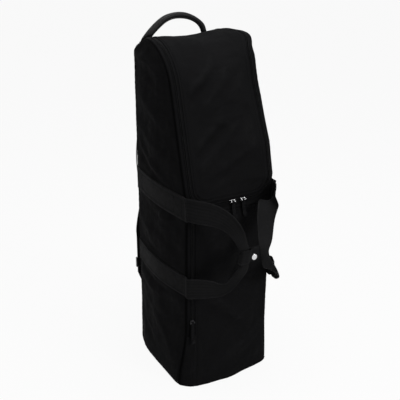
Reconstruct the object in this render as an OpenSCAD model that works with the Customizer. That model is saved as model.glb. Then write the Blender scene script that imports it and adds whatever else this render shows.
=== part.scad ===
// Tall soft carry bag that stands on its base. A U-shaped zipped lid covers the crown and the upper front,
// a flat pocket with an upright zip covers the lower front, and the bag is carried by a padded top handle,
// by two side handles that a snap wrap holds together, or by two padded shoulder straps.
// Millimetres. +X runs right across the front, +Y runs to the back, +Z is up, the origin is the middle of
// the base.

/* [Bag body] */
// Width of the bag across the front
body_w = 250; // [220:1:300]
// Depth of the bag at the base
body_d = 274; // [250:1:310]
// Height of the back panel
back_h = 857; // [780:1:940]
// Rise of the rounded crown above the back panel
crown_rise = 42; // [34:1:52]
// Radius of the crown's front curve
crown_r = 141; // [125:1:160]
// Distance of the crown's highest line behind the middle
crown_y = 65; // [50:1:78]
// How far the front leans out at the lid's hem
front_lean = 10; // [2:1:18]
// Thickness of the sewn, padded walls
wall = 5; // [4:0.5:7]
// Thickness of the stiff boards in the base and the back
board = 3; // [2:0.5:5]

/* [Lid and zips] */
// Height of the lid zip's bottom run above the base
zip_z = 513; // [480:1:560]
// Corner radius of the lid zip's line
zip_r = 45; // [30:1:60]
// Width of one zip tape, from the middle of the zip to its sewn edge
tape_w = 11; // [9:0.5:14]
// Thickness of a zip tape
tape_t = 1.2; // [0.8:0.1:1.6]
// Width of one row of the zip's coil
coil_w = 2.4; // [2:0.1:3]
// Gap between the two rows of coil, where a slider's neck runs
coil_gap = 1.2; // [1:0.1:1.6]
// Depth of the fixed strip between the lid's seam and the back panel
yoke_d = 27; // [20:1:35]
// Radius of the rolled seams that the lid and the handles turn on
roll_r = 2.5; // [2:0.1:3]

/* [Front pocket] */
// Height of the pocket's top seam
pocket_top = 486; // [440:1:500]
// Inner depth of the pocket
pocket_gap = 13; // [10:1:16]
// Thickness of the pocket's unpadded cloth walls
cloth = 4; // [3:0.5:5]
// Height where the pocket's upright zip starts
pocket_zip_z = 150; // [110:1:200]
// Height of the pocket slider when the pocket is closed
pocket_slider_z = 192; // [180:1:260]

/* [Zip hardware] */
// Length of a slider along its zip
slider_l = 12; // [10:0.5:16]
// Width of a slider's outer plate across the zip
slider_w = 8.4; // [7:0.2:10]
// Places of the two lid sliders along the bottom run
lid_slider_x = [5, 35];
// Length of a lid slider's pull
lid_pull_l = 48; // [30:1:60]
// Length of the pocket slider's pull
pocket_pull_l = 60; // [30:1:70]
// Width of a pull's cloth tab
pull_w = 9; // [6:0.5:12]

/* [Side handles] */
// Height of the middle of the upper sewn run
handle_top_z = 514; // [500:1:530]
// Height of the middle of the lower sewn run
handle_low_z = 302; // [280:1:320]
// Width of the handle band
band_w = 54; // [45:1:58]
// Thickness of the handle band
band_t = 2.5; // [2:0.1:3.5]
// Reach of the closed handles in front of their sewn ends
handle_reach = 104; // [95:1:115]
// Height of the snap wrap
wrap_h = 36; // [28:1:44]
// Thickness of the wrap's cloth
wrap_t = 1.8; // [1.4:0.1:2.2]
// Diameter of the snap's cap
snap_d = 15; // [12:0.5:18]

/* [Top handle] */
// Distance between the handle's two feet
top_handle_span = 184; // [150:1:196]
// Rise of the handle's middle line above its feet
top_handle_rise = 70; // [60:1:80]
// Thickness of the padded grip
top_handle_d = 14; // [12:0.5:16]

/* [Shoulder straps] */
// How far the straps' top seams lie below the top of the back panel
strap_drop = 91; // [85:1:117]
// Height of the straps' lower anchors
strap_low_z = 182; // [170:1:200]
// Height of the adjusters above the lower anchors
adjuster_rise = 53; // [50:1:58]
// Width of the padded part at its widest
pad_w = 54; // [44:1:60]
// Thickness of the padded part
pad_t = 12; // [9:0.5:14]
// Width of the strap webbing
web_w = 25; // [20:1:28]
// Thickness of the strap webbing
web_t = 1.8; // [1.4:0.1:2.2]
// How far the straps stand off the back
strap_reach = 48; // [40:1:55]
// Width of the patches that the straps hang from
anchor_w = 32; // [28:1:40]
// Height of those patches
anchor_h = 36; // [26:1:44]
// Length of the cloth wedges at the straps' lower ends
wedge_l = 62; // [40:1:80]

/* [Hidden] */
$fn = 48;
seam_gap = 0.3;                               // between pieces that move past each other
strap_gap = 0.8;                              // where a band or a strap leaves its sewn end
front_y = -body_d / 2;
back_y = body_d / 2;
inner_x = body_w / 2 - wall;
crown_h = back_h + crown_rise;
hem_pt = [front_y - front_lean, zip_z + 1];   // where the upright lower front turns into the leaning lid
crown_c = [crown_y, crown_h - crown_r];
rear_run = back_y - crown_y;
rear_r = (rear_run * rear_run + crown_rise * crown_rise) / (2 * crown_rise);
rear_c = [crown_y, crown_h - rear_r];
to_hem = hem_pt - crown_c;
lean_a = 360 + atan2(to_hem[1], to_hem[0]) - acos(crown_r / norm(to_hem));
lean_n = [cos(lean_a), sin(lean_a)];          // outward normal of the leaning front
front_n = [-hem_pt[1], hem_pt[0] - front_y] / norm([hem_pt[1], hem_pt[0] - front_y]);
zip_x = inner_x - tape_w;
coil_t = 1;                                   // how deep the coil sits in the wall, and how far it stands out
hinge_y = back_y - yoke_d;
hinge_z = rear_c[1] + sqrt(rear_r * rear_r - pow(hinge_y - crown_y, 2));
back_top_z = back_h - 2;
wall_far_d = cloth + pocket_gap;              // depth of the pocket's rear wall behind the front
coil_edge = coil_gap / 2 + coil_w;

slider_lift = coil_t + 0.3;                   // clearance plane of a slider's outer plate
slider_plate = 1.6;
slider_play = 0.9;                            // behind the tape, which leans away above the zip's line
neck_t = 0.8;
bail_r = 2.2;
pull_t = 2;
pull_y = -slider_lift - slider_plate - bail_r - 0.6;

handle_x = body_w / 2 + roll_r;
handle_y = front_y - 13;                      // the side handles turn about this upright line
handle_mid_z = (handle_top_z + handle_low_z) / 2;
handle_half = (handle_top_z - handle_low_z) / 2;
wrap_z = handle_mid_z;
wrap_y = handle_y - handle_reach + 10;        // back face of the wrap's rear run
grip_x = [-21, 38];
grip_t = 7;

top_handle_y = back_y + top_handle_d / 2 + 0.5;
top_handle_z = back_h + 3;
top_handle_r = (pow(top_handle_span / 2, 2) + pow(top_handle_rise, 2)) / (2 * top_handle_rise);
top_handle_a = asin(top_handle_span / 2 / top_handle_r);
foot_w = 26;
foot_h = 34;
foot_t = 2.4;

strap_top_z = back_h - strap_drop;
strap_top = [46, back_y + 6.5, strap_top_z];
strap_low = [body_w / 2 - 17, back_y + 10, strap_low_z];
adjuster_z = strap_low_z + adjuster_rise;
adjuster_y = back_y + 29;
pad_share = 0.531;                            // share of a strap's height that its pad takes

black = "#161616";
trim_black = "#202020";
leather_black = "#2a2a2a";
webbing_black = "#1b1b1b";
metal = "#c8c8c8";
hard_black = "#0e0e0e";

// ---- outlines in the bag's side view, [y, z] ----

function meet(n1, c1, n2, c2) =
    let (det = n1[0] * n2[1] - n1[1] * n2[0])
    [(c1 * n2[1] - c2 * n1[1]) / det, (n1[0] * c2 - n2[0] * c1) / det];

// A point of the upright lower front, d deep in the wall and at height z.
function front_at(d, z) = meet(front_n, front_n * hem_pt - d, [0, 1], z);

function arc(c, r, a0, a1, n) = [for (i = [0:n]) let (a = a0 + (a1 - a0) * i / n) c + r * [cos(a), sin(a)]];

// The closed outline of the bag, d deep in its walls.
function outline(d) = concat(
    [front_at(d, d), meet(front_n, front_n * hem_pt - d, lean_n, lean_n * crown_c + crown_r - d)],
    arc(crown_c, crown_r - d, lean_a, 90, 14),
    arc(rear_c, rear_r - d, 90, acos((rear_run - d) / (rear_r - d)), 9),
    [[back_y - d, d]]);

// Extrudes a side-view outline along X.
module along_x(x0, x1) {
    translate([x0, 0, 0]) rotate([90, 0, 90]) linear_extrude(x1 - x0) children();
}

// The skin between two depths, over the whole inner width.
module skin(d0, d1) {
    along_x(-inner_x, inner_x) difference() {
        polygon(outline(d0));
        polygon(outline(d1));
    }
}

// A straight sheet of the upright lower front, between two depths and two heights.
module front_sheet(x0, x1, d0, d1, z0, z1) {
    along_x(x0, x1) polygon([front_at(d0, z0), front_at(d0, z1), front_at(d1, z1), front_at(d1, z0)]);
}

// The lid zip's U line grown outwards by o, as a prism from in front of the bag to the lid's seam.
module zip_prism(o, y_end = hinge_y) {
    hx = zip_x + o;
    r = zip_r + o;
    z0 = zip_z - o;
    translate([0, y_end, 0]) rotate([90, 0, 0]) linear_extrude(body_d + 60) {
        translate([-hx, z0 + r]) square([2 * hx, crown_h + 20 - z0 - r]);
        translate([r - hx, z0]) square([2 * (hx - r), r + 1]);
        for (s = [-1, 1]) translate([s * (hx - r), z0 + r]) circle(r, $fn = 96);
    }
}

// What is cut from the pieces round the lid's rolled seam.
module roll_clearance() {
    translate([-body_w / 2, hinge_y, hinge_z]) rotate([0, 90, 0]) cylinder(h = body_w, r = roll_r + seam_gap);
}

// ---- walls ----

module bottom_panel() color(black)
    along_x(-inner_x, inner_x)
        polygon([front_at(0, 0), front_at(0, wall), [back_y, wall], [back_y, 0]]);

module base_board() color(hard_black)
    translate([-inner_x + 3, front_y + wall_far_d + cloth + 2, wall])
        cube([2 * inner_x - 6, body_d - wall_far_d - cloth - wall - board - 4, board]);

module side_panel(s) color(black)
    along_x(s > 0 ? inner_x : -body_w / 2, s > 0 ? body_w / 2 : -inner_x) polygon(outline(0));

module left_side_panel() side_panel(-1);

module right_side_panel() side_panel(1);

module back_panel() color(black)
    translate([-inner_x, back_y - wall, wall]) cube([2 * inner_x, wall, back_top_z - wall]);

module back_board() color(hard_black)
    translate([-inner_x + 6, back_y - wall - board, wall + board + 1])
        cube([2 * inner_x - 12, board, back_h - 40]);

module top_yoke() color(black)
    difference() {
        intersection() {
            skin(0, wall);
            translate([-inner_x, hinge_y + seam_gap / 2, back_top_z]) cube([2 * inner_x, yoke_d, crown_rise + 20]);
        }
        roll_clearance();
    }

// The fixed cloth round the lid's lower corners, with a ledge that carries the pocket's rear wall.
module front_yoke() color(black) {
    difference() {
        intersection() {
            skin(0, wall);
            translate([-inner_x, front_y - front_lean - 20, pocket_top])
                cube([2 * inner_x, 80, zip_z + zip_r - pocket_top]);
        }
        zip_prism(tape_w);
    }
    front_sheet(-inner_x, inner_x, wall, wall_far_d + cloth, pocket_top, pocket_top + cloth);
}

module front_wall() color(black)
    front_sheet(-inner_x, inner_x, wall_far_d, wall_far_d + cloth, wall, pocket_top);

// ---- front pocket ----

module pocket_panel() color(black)
    front_sheet(-zip_x + tape_w, inner_x, 0, cloth, wall, pocket_top);

module pocket_gusset() color(black)
    front_sheet(-inner_x, -zip_x + tape_w, 0, cloth, wall, pocket_zip_z);

module pocket_zip_tapes() color(trim_black)
    for (x = [-inner_x, -zip_x + coil_gap / 2])
        front_sheet(x, x + tape_w - coil_gap / 2, coil_t, coil_t + tape_t, pocket_zip_z, pocket_top);

module pocket_zip_coil() color(hard_black)
    for (x = [-zip_x - coil_edge, -zip_x + coil_gap / 2])
        front_sheet(x, x + coil_w, -coil_t, coil_t, pocket_zip_z, pocket_top);

// ---- lid ----

module lid_panel() color(black)
    difference() {
        intersection() {
            skin(0, wall);
            zip_prism(-tape_w, hinge_y - seam_gap / 2);
        }
        roll_clearance();
    }

// One U-shaped strip of the skin, between two depths and two distances from the zip's line.
module zip_strip(d0, d1, o0, o1, y_end) {
    difference() {
        intersection() {
            skin(d0, d1);
            zip_prism(o1, y_end);
        }
        zip_prism(o0, y_end + 1);
        roll_clearance();
    }
}

module lid_zip_inner_tape() color(trim_black)
    zip_strip(coil_t, coil_t + tape_t, -tape_w, -coil_gap / 2, hinge_y - seam_gap / 2);

module lid_zip_outer_tape() color(trim_black)
    zip_strip(coil_t, coil_t + tape_t, coil_gap / 2, tape_w, hinge_y - seam_gap / 2);

module lid_zip_inner_coil() color(hard_black)
    zip_strip(-coil_t, coil_t, -coil_edge, -coil_gap / 2, hinge_y - 4);

module lid_zip_outer_coil() color(hard_black)
    zip_strip(-coil_t, coil_t, coil_gap / 2, coil_edge, hinge_y - 4);

module lid_seam_roll() color(trim_black)
    translate([-inner_x, hinge_y, hinge_z]) rotate([0, 90, 0]) cylinder(h = 2 * inner_x, r = roll_r);

// ---- zip sliders and pulls ----

// A slider on its zip: the wall's outer face is the plane y = 0, and turn 0 runs it along X, 90 along Z.
module slider(turn) color(metal) {
    bail_x = pull_w / 2 + 0.4;
    rotate([0, turn, 0]) {
        translate([-slider_l / 2, -slider_lift - slider_plate, -slider_w / 2])
            cube([slider_l, slider_plate, slider_w]);
        translate([-slider_l / 4, -slider_lift - 0.1, -neck_t / 2])
            cube([slider_l / 2, slider_lift + coil_t + tape_t + slider_play + 0.2, neck_t]);
        translate([-slider_l / 2, coil_t + tape_t + slider_play, -slider_w / 3])
            cube([slider_l, 1.2, slider_w * 2 / 3]);
    }
    translate([-bail_x - 1, -slider_lift - slider_plate, -bail_r])
        cube([2 * bail_x + 2, slider_plate, 2 * bail_r]);
    for (x = [-bail_x - 1, bail_x]) {
        translate([x, pull_y, 0]) rotate([0, 90, 0]) cylinder(h = 1, r = bail_r);
        translate([x, pull_y, -bail_r]) cube([1, -slider_lift - slider_plate - pull_y, 2 * bail_r]);
    }
    translate([-bail_x - 0.5, pull_y, 0]) rotate([0, 90, 0]) cylinder(h = 2 * bail_x + 1, r = 0.9);
}

// A cloth pull that hangs from a slider's bail.
module pull(l) color(trim_black)
    difference() {
        union() {
            translate([-pull_w / 2, pull_y, 0]) rotate([0, 90, 0]) cylinder(h = pull_w, r = bail_r);
            translate([-pull_w / 2, pull_y - pull_t / 2, -l]) cube([pull_w, pull_t, l]);
        }
        translate([-pull_w, pull_y, 0]) rotate([0, 90, 0]) cylinder(h = 2 * pull_w, r = 1.2);
    }

// Where a lid slider or a pull of the lid zip sits.
module at_lid_zip(i) {
    translate([lid_slider_x[i], hem_pt[0], zip_z]) children();
}

// The same for the pocket's zip, which runs upright and leans with the front.
module at_pocket_zip() {
    translate([-zip_x, front_at(0, pocket_slider_z)[0], pocket_slider_z])
        rotate([atan2(-front_n[1], -front_n[0]), 0, 0]) children();
}

module left_lid_slider() at_lid_zip(0) slider(0);

module right_lid_slider() at_lid_zip(1) slider(0);

module left_lid_pull() at_lid_zip(0) pull(lid_pull_l);

module right_lid_pull() at_lid_zip(1) pull(lid_pull_l);

module pocket_slider() at_pocket_zip() slider(90);

module pocket_pull() at_pocket_zip() pull(pocket_pull_l);

// ---- side handles ----

// A run of the handle band sewn along a side panel, ending in the rolled edge that the handle turns on.
module sewn_band(s, z) color(webbing_black) {
    translate([s > 0 ? body_w / 2 : -body_w / 2 - band_t, handle_y, z - band_w / 2])
        cube([band_t, back_y - 12 - handle_y, band_w]);
    translate([s * handle_x, handle_y, z - band_w / 2]) cylinder(h = band_w, r = roll_r);
}

module left_upper_band() sewn_band(-1, handle_top_z);

module left_lower_band() sewn_band(-1, handle_low_z);

module right_upper_band() sewn_band(1, handle_top_z);

module right_lower_band() sewn_band(1, handle_low_z);

function station(p, i) =
    i < 0 ? 2 * p[0] - p[1] : i >= len(p) ? 2 * p[len(p) - 1] - p[len(p) - 2] : p[i];

function between(a, b, c, d, t) =
    0.5 * (2 * b + (c - a) * t + (2 * a - 5 * b + 4 * c - d) * t * t + (3 * b - a - 3 * c + d) * t * t * t);

// A smooth curve through stations of any kind, n steps between two of them.
function smooth(p, n) = concat(
    [for (i = [0:len(p) - 2], k = [0:n - 1])
        between(station(p, i - 1), p[i], p[i + 1], station(p, i + 2), k / n)],
    [p[len(p) - 1]]);

function place(s) = [s[0], s[1], s[2]];

// The four corners of a band at station i. A station is [x, y, z, side x, side y, side z, width, thickness].
function band_ring(s, i) =
    let (t = place(s[min(i + 1, len(s) - 1)]) - place(s[max(i - 1, 0)]),
         e = t / norm(t),
         w0 = [s[i][3], s[i][4], s[i][5]],
         w1 = w0 - (w0 * e) * e,
         w = w1 / norm(w1) * s[i][6] / 2,
         n = cross(w, e) / norm(w) * s[i][7] / 2)
    [for (k = [[-1, -1], [1, -1], [1, 1], [-1, 1]]) place(s[i]) + k[0] * w + k[1] * n];

// A flat band swept through its stations.
module band(stations, steps = 4) {
    s = smooth(stations, steps);
    m = len(s);
    polyhedron(
        points = [for (i = [0:m - 1]) each band_ring(s, i)],
        faces = concat(
            [[0, 1, 2], [0, 2, 3], [4 * m - 2, 4 * m - 3, 4 * m - 4], [4 * m - 1, 4 * m - 2, 4 * m - 4]],
            [for (i = [0:m - 2], k = [0:3]) let (a = 4 * i + k, b = 4 * i + (k + 1) % 4) each
                [[a, a + 4, b], [b, a + 4, b + 4]]]),
        convexity = 6);
}

// A station of a side handle: x is a share of the half width, y a share of the reach, z a share of the half
// height between the sewn runs.
function loop_at(fx, fy, fz, side, w, t) =
    [fx * handle_x, handle_y - roll_r - strap_gap - fy * handle_reach, handle_mid_z + fz * handle_half,
     side[0], side[1], side[2], w, t];

function grip_at(x, dy, dz, side, w) =
    [x, wrap_y - wrap_t - 0.9 - grip_t / 2 - dy, wrap_z + dz, side[0], side[1], side[2], w, grip_t];

module left_side_handle() color(webbing_black) band([
    loop_at(-1, 0, 1, [0, 0, 1], band_w - 2, band_t),
    loop_at(-0.99, 0.12, 1, [0, 0, 1], band_w - 2, band_t),
    loop_at(-0.87, 0.29, 0.98, [0, 0, 1], band_w - 4, band_t),
    loop_at(-0.61, 0.54, 0.87, [0.1, -0.1, 1], band_w - 8, band_t),
    loop_at(-0.36, 0.79, 0.59, [0.6, -0.3, 0.7], 36, 4),
    grip_at(grip_x[0] - 4, -2, wrap_h / 2 + 16, [0.95, -0.2, 0.3], 24),
    grip_at(grip_x[0], 0, wrap_h / 2 + 2, [1, 0, 0], 22),
    grip_at(grip_x[0], 0, -wrap_h / 2 - 2, [1, 0, 0], 22),
    grip_at(grip_x[0] - 5, -2, -wrap_h / 2 - 20, [1, -0.1, -0.3], 25),
    loop_at(-0.39, 0.69, -0.78, [0.6, -0.4, -0.7], 36, 4),
    loop_at(-0.63, 0.42, -0.97, [0.1, -0.1, -1], band_w - 8, band_t),
    loop_at(-0.87, 0.24, -1.01, [0, 0, -1], band_w - 4, band_t),
    loop_at(-0.99, 0.1, -1, [0, 0, -1], band_w - 2, band_t),
    loop_at(-1, 0, -1, [0, 0, -1], band_w - 2, band_t)], 3);

module right_side_handle() color(webbing_black) band([
    loop_at(1, 0, 1, [0, 0, 1], band_w - 2, band_t),
    loop_at(0.995, 0.11, 0.995, [0, 0, 1], band_w - 2, band_t),
    loop_at(0.94, 0.26, 0.92, [0.2, 0, 1], band_w - 6, band_t),
    loop_at(0.79, 0.42, 0.66, [0.6, -0.1, 0.7], 42, band_t),
    loop_at(0.57, 0.66, 0.36, [1, -0.2, 0.3], 34, 4),
    grip_at(grip_x[1] + 1, -2, 12, [1, -0.1, 0], 23),
    grip_at(grip_x[1], 2, -8, [1, 0, 0], 22),
    grip_at(grip_x[1] + 8, 1, -34, [0.95, -0.2, -0.2], 26),
    loop_at(0.52, 0.87, -0.57, [0.8, -0.4, -0.5], 34, 4),
    loop_at(0.74, 0.62, -0.77, [0.4, -0.3, -0.8], 42, band_t),
    loop_at(0.92, 0.3, -0.95, [0.1, 0, -1], band_w - 6, band_t),
    loop_at(0.995, 0.11, -0.995, [0, 0, -1], band_w - 2, band_t),
    loop_at(1, 0, -1, [0, 0, -1], band_w - 2, band_t)], 3);

// The wrap's outline in plan is worked out from the left grip that it folds round.
wrap_left = grip_x[0] - 14;
wrap_right = grip_x[1] - 13;
wrap_front = wrap_y - wrap_t - 2.6 - grip_t - wrap_t;
tail_y = wrap_y - wrap_t - 3;
snap_x = grip_x[0] + 24;

// The rear run, sewn to the right grip and lying behind the left one.
module wrap_base() color(webbing_black)
    translate([wrap_left, wrap_y - wrap_t, wrap_z - wrap_h / 2])
        cube([wrap_right - wrap_left, wrap_t, wrap_h]);

// The flap that folds round the left grip and closes on the rear run.
module wrap_flap() color(webbing_black)
    translate([0, 0, wrap_z - wrap_h / 2]) linear_extrude(wrap_h)
        polygon([
            [wrap_left - 0.2, wrap_y], [wrap_left - 2, wrap_y],
            [wrap_left - 2, wrap_front + 3], [wrap_left + 1, wrap_front],
            [snap_x - 14, wrap_front], [snap_x - 5, tail_y - wrap_t],
            [wrap_right - 3, tail_y - wrap_t], [wrap_right - 3, tail_y],
            [snap_x - 4.2, tail_y], [snap_x - 13.2, wrap_front + wrap_t],
            [wrap_left + 1.8, wrap_front + wrap_t], [wrap_left - 0.2, wrap_front + 3.8]]);

module at_snap(y) {
    translate([snap_x + 4, y, wrap_z - 7]) rotate([90, 0, 0]) children();
}

// A low domed cap outside the flap, with its socket inside.
module snap_cap() color(metal) {
    at_snap(tail_y - wrap_t) rotate_extrude()
        polygon([[0, 0], [snap_d / 2, 0], [snap_d / 2, 0.6], [snap_d / 3, 1.7], [0, 2]]);
    at_snap(tail_y + 1.4) difference() {
        cylinder(h = 1.4, r = snap_d / 3);
        translate([0, 0, -1]) cylinder(h = 2.2, r = 2.2);
    }
}

// The stud on the rear run, which the socket closes over.
module snap_stud() color(metal)
    at_snap(wrap_y - wrap_t) {
        cylinder(h = 0.8, r = snap_d / 3);
        cylinder(h = 2.4, r = 2);
    }

// ---- top handle ----

// Patches sewn to the back panel, each with the rolled edge that the handle's foot turns on.
module top_handle_feet() color(leather_black)
    for (s = [-1, 1]) translate([s * top_handle_span / 2, 0, 0]) {
        translate([-foot_w / 2, back_y, top_handle_z - 6 - foot_h]) cube([foot_w, foot_t, foot_h]);
        translate([-foot_w / 2, back_y, top_handle_z - 6])
            cube([foot_w, top_handle_y - back_y, foot_t]);
        translate([-foot_w / 2, top_handle_y - 1.4, top_handle_z - 6]) cube([foot_w, 1.8, 6]);
        translate([-foot_w / 2, top_handle_y, top_handle_z]) rotate([0, 90, 0])
            cylinder(h = foot_w, r = roll_r);
    }

// The padded arch, with a thin tab at each end that wraps the foot's rolled edge.
module top_handle_grip() color(leather_black)
    difference() {
        union() {
            difference() {
                translate([0, top_handle_y, top_handle_z + top_handle_rise - top_handle_r])
                    rotate([90, 0, 0]) rotate([0, 0, 90 - top_handle_a])
                        rotate_extrude(angle = 2 * top_handle_a, $fn = 128)
                            translate([top_handle_r, 0]) circle(d = top_handle_d, $fn = 48);
                translate([-body_w / 2, top_handle_y - 20, top_handle_z - 20])
                    cube([body_w, 40, 20 + top_handle_d / 2]);
            }
            for (s = [-1, 1])
                translate([s * (top_handle_span / 2 - 1) - foot_w / 2 + 3, top_handle_y - foot_t / 2, top_handle_z])
                    cube([foot_w - 6, foot_t, top_handle_d / 2 + 3]);
        }
        translate([-body_w / 2, top_handle_y, top_handle_z]) rotate([0, 90, 0])
            cylinder(h = body_w, r = roll_r + seam_gap);
    }

// ---- shoulder straps ----

module strap_top_anchors() color(webbing_black)
    for (s = [-1, 1]) translate([s * strap_top[0], 0, 0]) {
        translate([-anchor_w / 2, back_y, strap_top_z + 2.9]) cube([anchor_w, foot_t, anchor_h]);
        translate([-web_w / 2 - 0.5, back_y, strap_top_z + 2.9]) cube([web_w + 1, strap_top[1] + 2 - back_y, 6]);
    }

// Cloth wedges sewn at the foot of the back panel, which the webbing comes out of.
module strap_low_anchors() color(webbing_black)
    for (s = [-1, 1]) translate([s * strap_low[0] - web_w / 2 + 2, 0, 0])
        along_x(0, web_w - 4)
            polygon([[back_y, strap_low_z - 2 - wedge_l], [back_y, strap_low_z - 8],
                     [strap_low[1] + 1, strap_low_z - 2.7], [strap_low[1] + 1, strap_low_z - 14]]);

// A point of the straight line between a strap's two ends, a share f of the way down.
function strap_x(f) = strap_top[0] + (strap_low[0] - strap_top[0]) * f;

function strap_z(f) = strap_top_z + (strap_low_z - strap_top_z) * f;

// A station of a strap on side s, dy behind the back panel.
function strap_at(s, x, dy, z, w, t) = [s * x, back_y + dy, z, s, 0, 0, w, t];

function pad_at(s, f, dx, reach, w, t) = strap_at(s, strap_x(f) + dx, reach * strap_reach, strap_z(f), w, t);

module strap_pad(s) color(black) band([
    strap_at(s, strap_top[0], strap_top[1] - back_y, strap_top_z + 2, web_w - 2, 3),
    strap_at(s, strap_top[0] + 0.3, strap_top[1] - back_y + 1.5, strap_top_z - 10, web_w + 2, 4),
    pad_at(s, 0.053, 0, 0.4, 0.66 * pad_w, 0.66 * pad_t),
    pad_at(s, 0.13, 4, 0.77, 0.93 * pad_w, pad_t),
    pad_at(s, 0.25, 8, 1, pad_w, pad_t),
    pad_at(s, 0.37, 8, 0.98, pad_w, pad_t),
    pad_at(s, 0.473, 4, 0.84, 0.88 * pad_w, 0.83 * pad_t),
    pad_at(s, pad_share, 2, 0.74, web_w + 6, 6)]);

module left_strap_pad() strap_pad(-1);

module right_strap_pad() strap_pad(1);

// The webbing runs straight where the adjuster slides on it.
module strap_webbing(s) color(webbing_black) {
    x = strap_low[0];
    dy = adjuster_y - back_y;
    band([
        strap_at(s, strap_x(pad_share) + 2, 0.74 * strap_reach, strap_z(pad_share) - strap_gap, web_w, web_t),
        strap_at(s, strap_x(pad_share) + 3, 0.74 * strap_reach - 2.2, strap_z(pad_share) - 16, web_w, web_t),
        strap_at(s, (strap_x(0.627) + x) / 2, dy + 2, strap_z(0.627), web_w, web_t),
        strap_at(s, x, dy, adjuster_z + 110, web_w, web_t),
        strap_at(s, x, dy, adjuster_z + 75, web_w, web_t),
        strap_at(s, x, dy, adjuster_z - 23, web_w, web_t),
        strap_at(s, x, dy, adjuster_z - 31, web_w, web_t),
        strap_at(s, x, dy - 9, strap_low_z + 12, web_w - 2, web_t),
        strap_at(s, x, strap_low[1] - back_y + 1, strap_low_z + 4, web_w - 4, web_t),
        strap_at(s, x, strap_low[1] - back_y, strap_low_z - 1.9, web_w - 4, web_t)]);
}

module left_strap_webbing() strap_webbing(-1);

module right_strap_webbing() strap_webbing(1);

// A ladder-shaped adjuster: two rails, bars in front of and behind the webbing.
module strap_adjuster(s) color(hard_black)
    translate([s * strap_low[0], adjuster_y, adjuster_z]) {
        for (k = [-1, 1]) translate([k * (web_w / 2 + 2) - 1.6, -2.8, -15]) cube([3.2, 5.6, 30]);
        for (z = [-15, 12]) translate([-web_w / 2 - 1, -2.8, z]) cube([web_w + 2, 1.5, 3]);
        for (z = [-11, 6.5]) translate([-web_w / 2 - 1, 1.3, z]) cube([web_w + 2, 1.5, 4.5]);
    }

module left_strap_adjuster() strap_adjuster(-1);

module right_strap_adjuster() strap_adjuster(1);

bottom_panel();
base_board();
left_side_panel();
right_side_panel();
back_panel();
back_board();
top_yoke();
front_yoke();
front_wall();
pocket_panel();
pocket_gusset();
pocket_zip_tapes();
pocket_zip_coil();
lid_panel();
lid_zip_inner_tape();
lid_zip_outer_tape();
lid_zip_inner_coil();
lid_zip_outer_coil();
lid_seam_roll();
left_lid_slider();
right_lid_slider();
left_lid_pull();
right_lid_pull();
pocket_slider();
pocket_pull();
left_upper_band();
left_lower_band();
right_upper_band();
right_lower_band();
left_side_handle();
right_side_handle();
wrap_base();
wrap_flap();
snap_cap();
snap_stud();
top_handle_feet();
top_handle_grip();
strap_top_anchors();
strap_low_anchors();
left_strap_pad();
right_strap_pad();
left_strap_webbing();
right_strap_webbing();
left_strap_adjuster();
right_strap_adjuster();
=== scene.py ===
"""A tall soft carry bag that stands on its base.

The lower front is a flat pocket with an upright zip, a U-shaped zip opens the crown and the upper front as a lid,
and the bag is carried by a padded top handle, by two side handles that a snap wrap holds together, or by two padded
shoulder straps on the back.

Sizes in the classes are millimetres in the part's own frame: +X across the front, +Y to the back, +Z up. MM turns
them into metres when a mesh is made. Cloth is laid out in flat coordinates, x across and s along the bag's side
outline from the front's foot, and Shell.strip and Shell.side carry flat points to their places on the slumped bag.
"""

import logging
import math
from collections.abc import Callable, Iterator
from contextlib import contextmanager
from dataclasses import dataclass, field
from enum import Enum

import bpy
import numpy as np
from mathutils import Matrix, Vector


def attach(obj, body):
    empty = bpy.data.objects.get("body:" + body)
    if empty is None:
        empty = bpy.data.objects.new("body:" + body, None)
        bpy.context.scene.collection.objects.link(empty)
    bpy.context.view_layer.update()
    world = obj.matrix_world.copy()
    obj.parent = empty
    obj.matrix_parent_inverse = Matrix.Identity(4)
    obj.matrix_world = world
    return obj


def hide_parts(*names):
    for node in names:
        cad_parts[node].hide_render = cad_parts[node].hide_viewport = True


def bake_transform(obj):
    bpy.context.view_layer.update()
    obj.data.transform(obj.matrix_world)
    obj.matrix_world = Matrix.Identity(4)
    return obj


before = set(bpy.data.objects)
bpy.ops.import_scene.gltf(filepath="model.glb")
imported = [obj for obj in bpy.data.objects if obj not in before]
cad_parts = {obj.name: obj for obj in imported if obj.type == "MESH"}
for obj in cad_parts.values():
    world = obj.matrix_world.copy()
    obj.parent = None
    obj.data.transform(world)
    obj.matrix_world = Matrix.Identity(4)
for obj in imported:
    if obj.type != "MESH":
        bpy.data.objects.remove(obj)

LOG = logging.getLogger("carry_bag")
MM = 0.001
CHUNK = 4000

Piece = bpy.types.Object
Socket = bpy.types.NodeSocket
Sockets = bpy.types.NodeOutputs
Array = np.ndarray
Pair = tuple[float, float]
Triple = tuple[float, float, float]
Line = Callable[[float, float], Array]


class Slot(Enum):
    """The record's material slots."""

    SHELL = "shell_cloth"
    ZIP_CLOTH = "zip_cloth"
    WEBBING = "webbing"
    LEATHER = "handle_leather"
    ZIP_PLASTIC = "zip_plastic"
    PLASTIC = "hard_plastic"
    METAL = "bright_metal"


class Side(Enum):
    """The bag's two sides, with the sign of their x."""

    LEFT = -1
    RIGHT = 1

    @property
    def word(self) -> str:
        """The side's name as piece names use it."""
        return self.name.lower()


# ---- small tools for meshes ----


def deselect() -> None:
    """Leaves nothing selected and no active object."""
    bpy.ops.object.select_all(action="DESELECT")
    bpy.context.view_layer.objects.active = None


def pick(piece: Piece) -> None:
    """Selects one object alone and makes it active.

    Args:
        piece: The object.
    """
    deselect()
    piece.select_set(True)
    bpy.context.view_layer.objects.active = piece


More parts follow.
